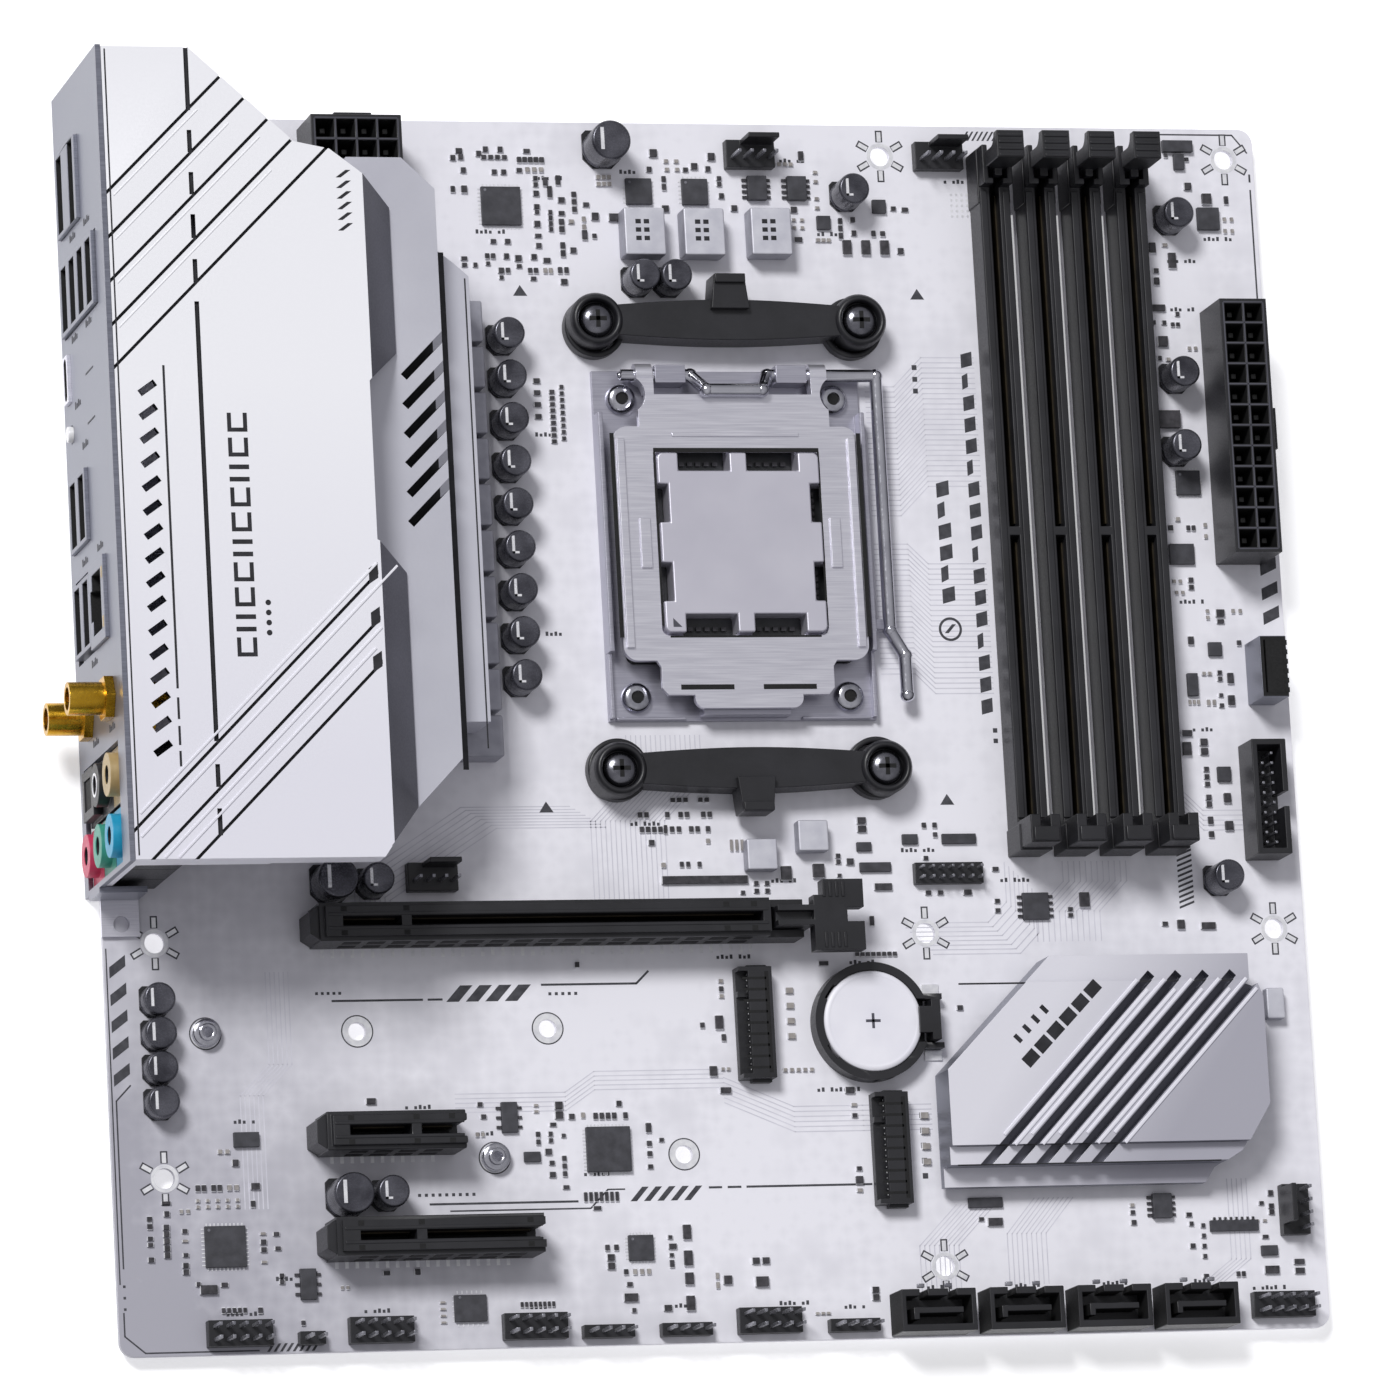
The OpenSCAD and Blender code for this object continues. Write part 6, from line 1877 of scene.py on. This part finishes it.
    def lower_middle(self) -> list[Row]:
        """Parts round the controller between the storage cards."""
        return [
            (62.8, -32.5, 1.1, 0.9), (63.4, -34.9, 1.1, 0.9), (78.5, -33, 1.6, 1.5, 2, 0, -1.9),
            (81, -35.2, 1.2, 1.1), (85.8, -35.2, 0.9, 1.3, 4, 1.25), (91.8, -35.2, 0.9, 1.3),
            (90.6, -32.8, 1.1, 1.1), (74.1, -38.6, 0.9, 1.1, 2, 0, -1.5), (76.6, -38.5, 0.9, 0.9, 2, 0, -1.3),
            (77.2, -36.7, 1.3, 0.8), (79.2, -38.9, 0.9, 0.8), (76, -42, 1.4, 1.2),
            (79.1, -43.4, 0.9, 1.1, 3, 0, -1.5), (76.6, -44.2, 1.1, 0.9), (76.6, -46.5, 1.3, 1.1),
            (79.2, -49, 1.3, 0.8), (96.3, -37.7, 1.1, 1.9), (96.3, -40.8, 1, 1.1), (98.8, -40.1, 1, 0.8),
            (96.3, -42.8, 1, 1.1), (96.3, -45.3, 1.1, 0.9), (83, -51, 0.7, 1.9, 7, 1.05), (85.2, -53.2, 1.6, 0.8),
            (110, -26.8, 1.5, 2), (112.3, -30.6, 2.2, 1.2), (137.5, -31, 1.9, 1.3), (138.2, -36, 1.1, 0.9),
            (138.5, -46.5, 1.1, 0.9), (138.4, -48.8, 1.5, 1.6), (86.8, -61, 0.9, 1.2, 2, 1.8),
            (87.4, -62.9, 1.5, 1.3, 2, 0, -1.7), (90.3, -65.8, 0.9, 1.1), (90.9, -68.2, 1.2, 0.9),
            (91, -70.8, 2.8, 1.6), (91.5, -73.3, 0.9, 0.9), (99.5, -59.2, 0.9, 0.8), (99.9, -61, 1.6, 1.1),
            (99.6, -62.7, 0.9, 0.8), (99.6, -64.4, 0.9, 1.5), (102.9, -58.3, 1.6, 2.9), (102.9, -63.4, 1.7, 3),
            (102.9, -67.4, 1.7, 2.4), (102.9, -72.2, 1.7, 2.9), (98.3, -73, 1.6, 1.2), (110.6, -67.8, 1.7, 1.7),
            (116.5, -64.2, 1.5, 1.3, 2, 2), (117.5, -68.3, 2.6, 2), (69.2, -71.7, 0.6, 1.1, 8, 0.9),
            (140.4, -70.4, 1.4, 1.2, 2, 0, -1.5), (83.7, -5.4, 0.9, 1.2), (112.5, -10.6, 0.9, 1.1),
            (108.3, -17.7, 0.9, 1.1), (111.7, -17.2, 1.6, 2.7), (112.5, -20.2, 0.9, 1.4), (133.6, -5.8, 2, 0.9),
            (140.6, -4.1, 0.85, 0.9, 8, 1.1), (161, -15, 1.2, 1),
        ]

    def lower_right(self) -> list[Row]:
        """Parts below and beside the chipset."""
        return [
            (165.6, -57.6, 3, 1.6), (162.8, -57, 1.1, 0.8), (194, -56.3, 1, 0.9), (194.1, -58.3, 1.1, 1),
            (205.6, -57, 1.2, 0.9), (206, -58.8, 0.9, 0.9), (208.4, -59.2, 0.9, 0.9, 4, 0, -2.03),
            (206, -63.2, 1.1, 1), (208.4, -69.2, 1.1, 0.8), (215.1, -69, 0.8, 1.1, 2, 1.1), (221.2, -61.7, 1.3, 0.8),
            (222.8, -53, 1.1, 1.1), (222.8, -55.6, 1.1, 1, 2, 0, -1.2), (220.8, -55, 1, 0.8), (222.1, -68.3, 3, 1.6),
            (227.9, -66.8, 2.2, 1.1), (227.9, -68.6, 2, 1.2), (210.8, -57.9, 0.6, 0.6, 8, 1.15),
        ]

    def pale(self) -> list[Row]:
        """Pale parts and bare pads all over the board."""
        return [
            (82, 154, 0.9, 1, 3, 1.4), (90.4, 143.5, 1.1, 0.9), (93, 144, 0.8, 1.1, 2, 0, -1.6),
            (84.6, 133.5, 0.8, 1.1, 2, 1.1), (110.5, 156, 0.9, 0.8, 2, 2.1), (110.6, 154.3, 0.9, 0.8, 2, 2.1),
            (96.4, 152.6, 0.9, 0.9, 3, 1.1), (96.4, 151.2, 0.9, 0.9, 3, 1.1), (133.8, 155.6, 0.9, 0.8, 3, 1.2),
            (136.2, 144.2, 0.8, 0.7, 2, 1.7), (136.2, 142.6, 0.8, 0.7, 2, 1.7), (141, 140.1, 0.9, 0.8, 3, 1.1),
            (141.2, 154, 0.9, 0.7, 2, 0, -1.9), (141.2, 148.6, 0.9, 0.7, 2, 0, -1.9), (226.6, 145, 0.7, 0.9, 2, 1.5),
            (226.6, 142.6, 0.7, 0.9, 2, 1.5), (213.6, 139.6, 1.1, 0.8), (212.8, 116, 0.9, 0.8),
            (217.4, 118.3, 0.7, 0.8, 2, 1.3), (212.6, 83.2, 0.9, 0.9), (218.3, 82, 0.7, 0.9, 2, 0, -2.3),
            (211, 70.5, 0.7, 0.8, 2, 1.3), (211.4, 68.2, 0.7, 0.8, 2, 1.3), (217.6, 64.4, 0.7, 0.8, 2, 0, -1.3),
            (223, 64.4, 0.7, 0.9, 2, 1.5), (216, 51.7, 0.8, 0.8, 2, 1.2), (216.6, 45.8, 0.7, 1.2, 2, 1.2),
            (212.7, 45.9, 0.6, 1, 3, 0.9), (111.5, 18.8, 0.8, 1), (116.2, 17.9, 0.6, 2.3, 3, 1.1),
            (102.2, 14.1, 0.9, 1), (11, -40.8, 0.9, 0.9, 2, 1.4), (12.5, -47.8, 0.9, 1.1, 2, 1.4),
            (6.2, -50.2, 0.7, 0.7, 5, 1.95), (6.2, -51.4, 0.7, 0.7, 5, 1.95), (2.9, -52.2, 0.7, 0.8, 2, 1.3),
            (3.4, -57.9, 1.1, 0.6), (18.7, -56.8, 1.1, 0.6), (18.7, -62.3, 1.1, 0.6),
            (33.8, -67.6, 0.6, 0.7, 2, 1.1), (53.5, -70.9, 1.1, 0.5, 4, 0, -1.3), (62, -38.4, 0.7, 0.9, 2, 1.1),
            (74, -32.9, 0.9, 0.6, 2, 0, -1.2), (83.3, -35, 0.8, 1.1), (112, -26.4, 0.7, 0.7, 2, 1.1),
            (124.6, -26.8, 0.8, 0.8, 5, 1.35), (138.2, -33.9, 1.1, 0.7), (138.4, -50.8, 1.1, 0.8),
            (92.1, -65.8, 0.8, 1.1, 3, 1.4), (108.6, -67, 0.7, 1.3, 2, 0, -1.8), (128.4, -74.8, 0.8, 0.6, 3, 1.1),
            (112.5, -9, 0.9, 0.8), (112.5, -12, 0.9, 0.8), (194, -54.9, 0.9, 0.8), (219.7, -58.5, 0.8, 0.6, 2, 1.6),
            (126.3, -11.1, 1.5, 1.2, 4, 0, -3), (152.4, -36.3, 1.6, 1.3, 4, 0, -3.05),
        ]


# ---- the studio ----


@dataclass
class Studio:
    """A pale floor, soft lights and the camera."""

    eye: Spot = (-356.13, -271.58, 1705.76)
    right: Spot = (0.96547, -0.05394, 0.25486)
    up: Spot = (0.00597, 0.98266, 0.18535)
    ahead: Spot = (0.26044, 0.17742, -0.94905)
    lens: float = 234.62
    floor_z: float = -2.3

    def build(self) -> None:
        """Sets up the floor, the lights, the world and the camera."""
        self.floor()
        self.sun("key_light", (-0.42, 0.48, 0.77), 2.3, 16)
        self.sun("fill_light", (-0.1, -0.75, 0.66), 0.08, 60)
        self.world()
        self.camera()

    def floor(self) -> None:
        """Lays a wide pale floor under the board."""
        sheet = Shape()
        sheet.box((-2400, -2400, self.floor_z - 10), (2600, 2600, self.floor_z))
        mesh = sheet.mesh("studio_floor")
        mesh.materials.append(Look.FLOOR.value.material())
        floor = bpy.data.objects.new("studio_floor", mesh)
        bpy.context.scene.collection.objects.link(floor)

    def sun(self, name: str, towards: Spot, power: float, width: float) -> None:
        """Adds one soft distant light.

        Args:
            name: the light's name.
            towards: the direction from the board to the light.
            power: its strength.
            width: how wide it looks from the board, in degrees.
        """
        data = bpy.data.lights.new(name, "SUN")
        data.energy = power
        data.angle = math.radians(width)
        lamp = bpy.data.objects.new(name, data)
        lamp.rotation_euler = Vector(towards).to_track_quat("Z", "Y").to_euler()
        bpy.context.scene.collection.objects.link(lamp)

    def world(self) -> None:
        """Gives the room pale air that is brightest overhead."""
        world = bpy.data.worlds.new("studio_air")
        world.use_nodes = True
        tree = world.node_tree
        way = add_node(tree, "ShaderNodeTexCoord").outputs["Generated"]
        parts = add_node(tree, "ShaderNodeSeparateXYZ", {}, {"Vector": way})
        ramp = add_node(tree, "ShaderNodeValToRGB", {}, {"Fac": parts.outputs["Z"]})
        ramp.color_ramp.elements[0].position, ramp.color_ramp.elements[1].position = 0.0, 0.95
        ramp.color_ramp.elements[0].color = (0.16, 0.16, 0.19, 1)
        ramp.color_ramp.elements[1].color = (0.86, 0.86, 0.9, 1)
        tree.links.new(ramp.outputs["Color"], tree.nodes["Background"].inputs["Color"])
        tree.nodes["Background"].inputs["Strength"].default_value = 0.52
        bpy.context.scene.world = world
        bpy.context.scene.view_settings.view_transform = "Standard"

    def camera(self) -> None:
        """Places the camera."""
        data = bpy.data.cameras.new("view")
        data.lens = self.lens
        data.sensor_width = 36
        data.clip_end = 20
        eye = bpy.data.objects.new("view", data)
        turn = Matrix((self.right, self.up, tuple(-part for part in self.ahead))).transposed()
        eye.matrix_world = Matrix.Translation(Vector(self.eye) * MM) @ turn.to_4x4()
        bpy.context.scene.collection.objects.link(eye)
        bpy.context.scene.camera = eye


def main() -> None:
    """Builds every sub-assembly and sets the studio."""
    logging.basicConfig(level=logging.INFO, format="%(name)s: %(message)s")
    parts = [
        PrintedBoard(),
        ProcessorSocket(),
        CoolerBracket("cooler_bracket_top", 1),
        CoolerBracket("cooler_bracket_bottom", -1),
        BracketScrews(),
        MemoryBank(),
        CardSlot("graphics_slot", 2.1, 30.5, 120.5),
        CardSlot("medium_slot", -58.9, 31, 72),
        CardSlot("short_slot", -38.5, 30, 57.5),
        CardLatch(),
        StorageSockets(),
        BackupBattery(),
        ChipsetHeatsink(),
        PowerStage(),
        RearCover(),
        RearPanel(),
        PowerPlugs(),
        SmallParts(),
        Studio(),
    ]
    for part in parts:
        log.info("building %s", type(part).__name__)
        part.build()


if __name__ == "__main__":
    main()
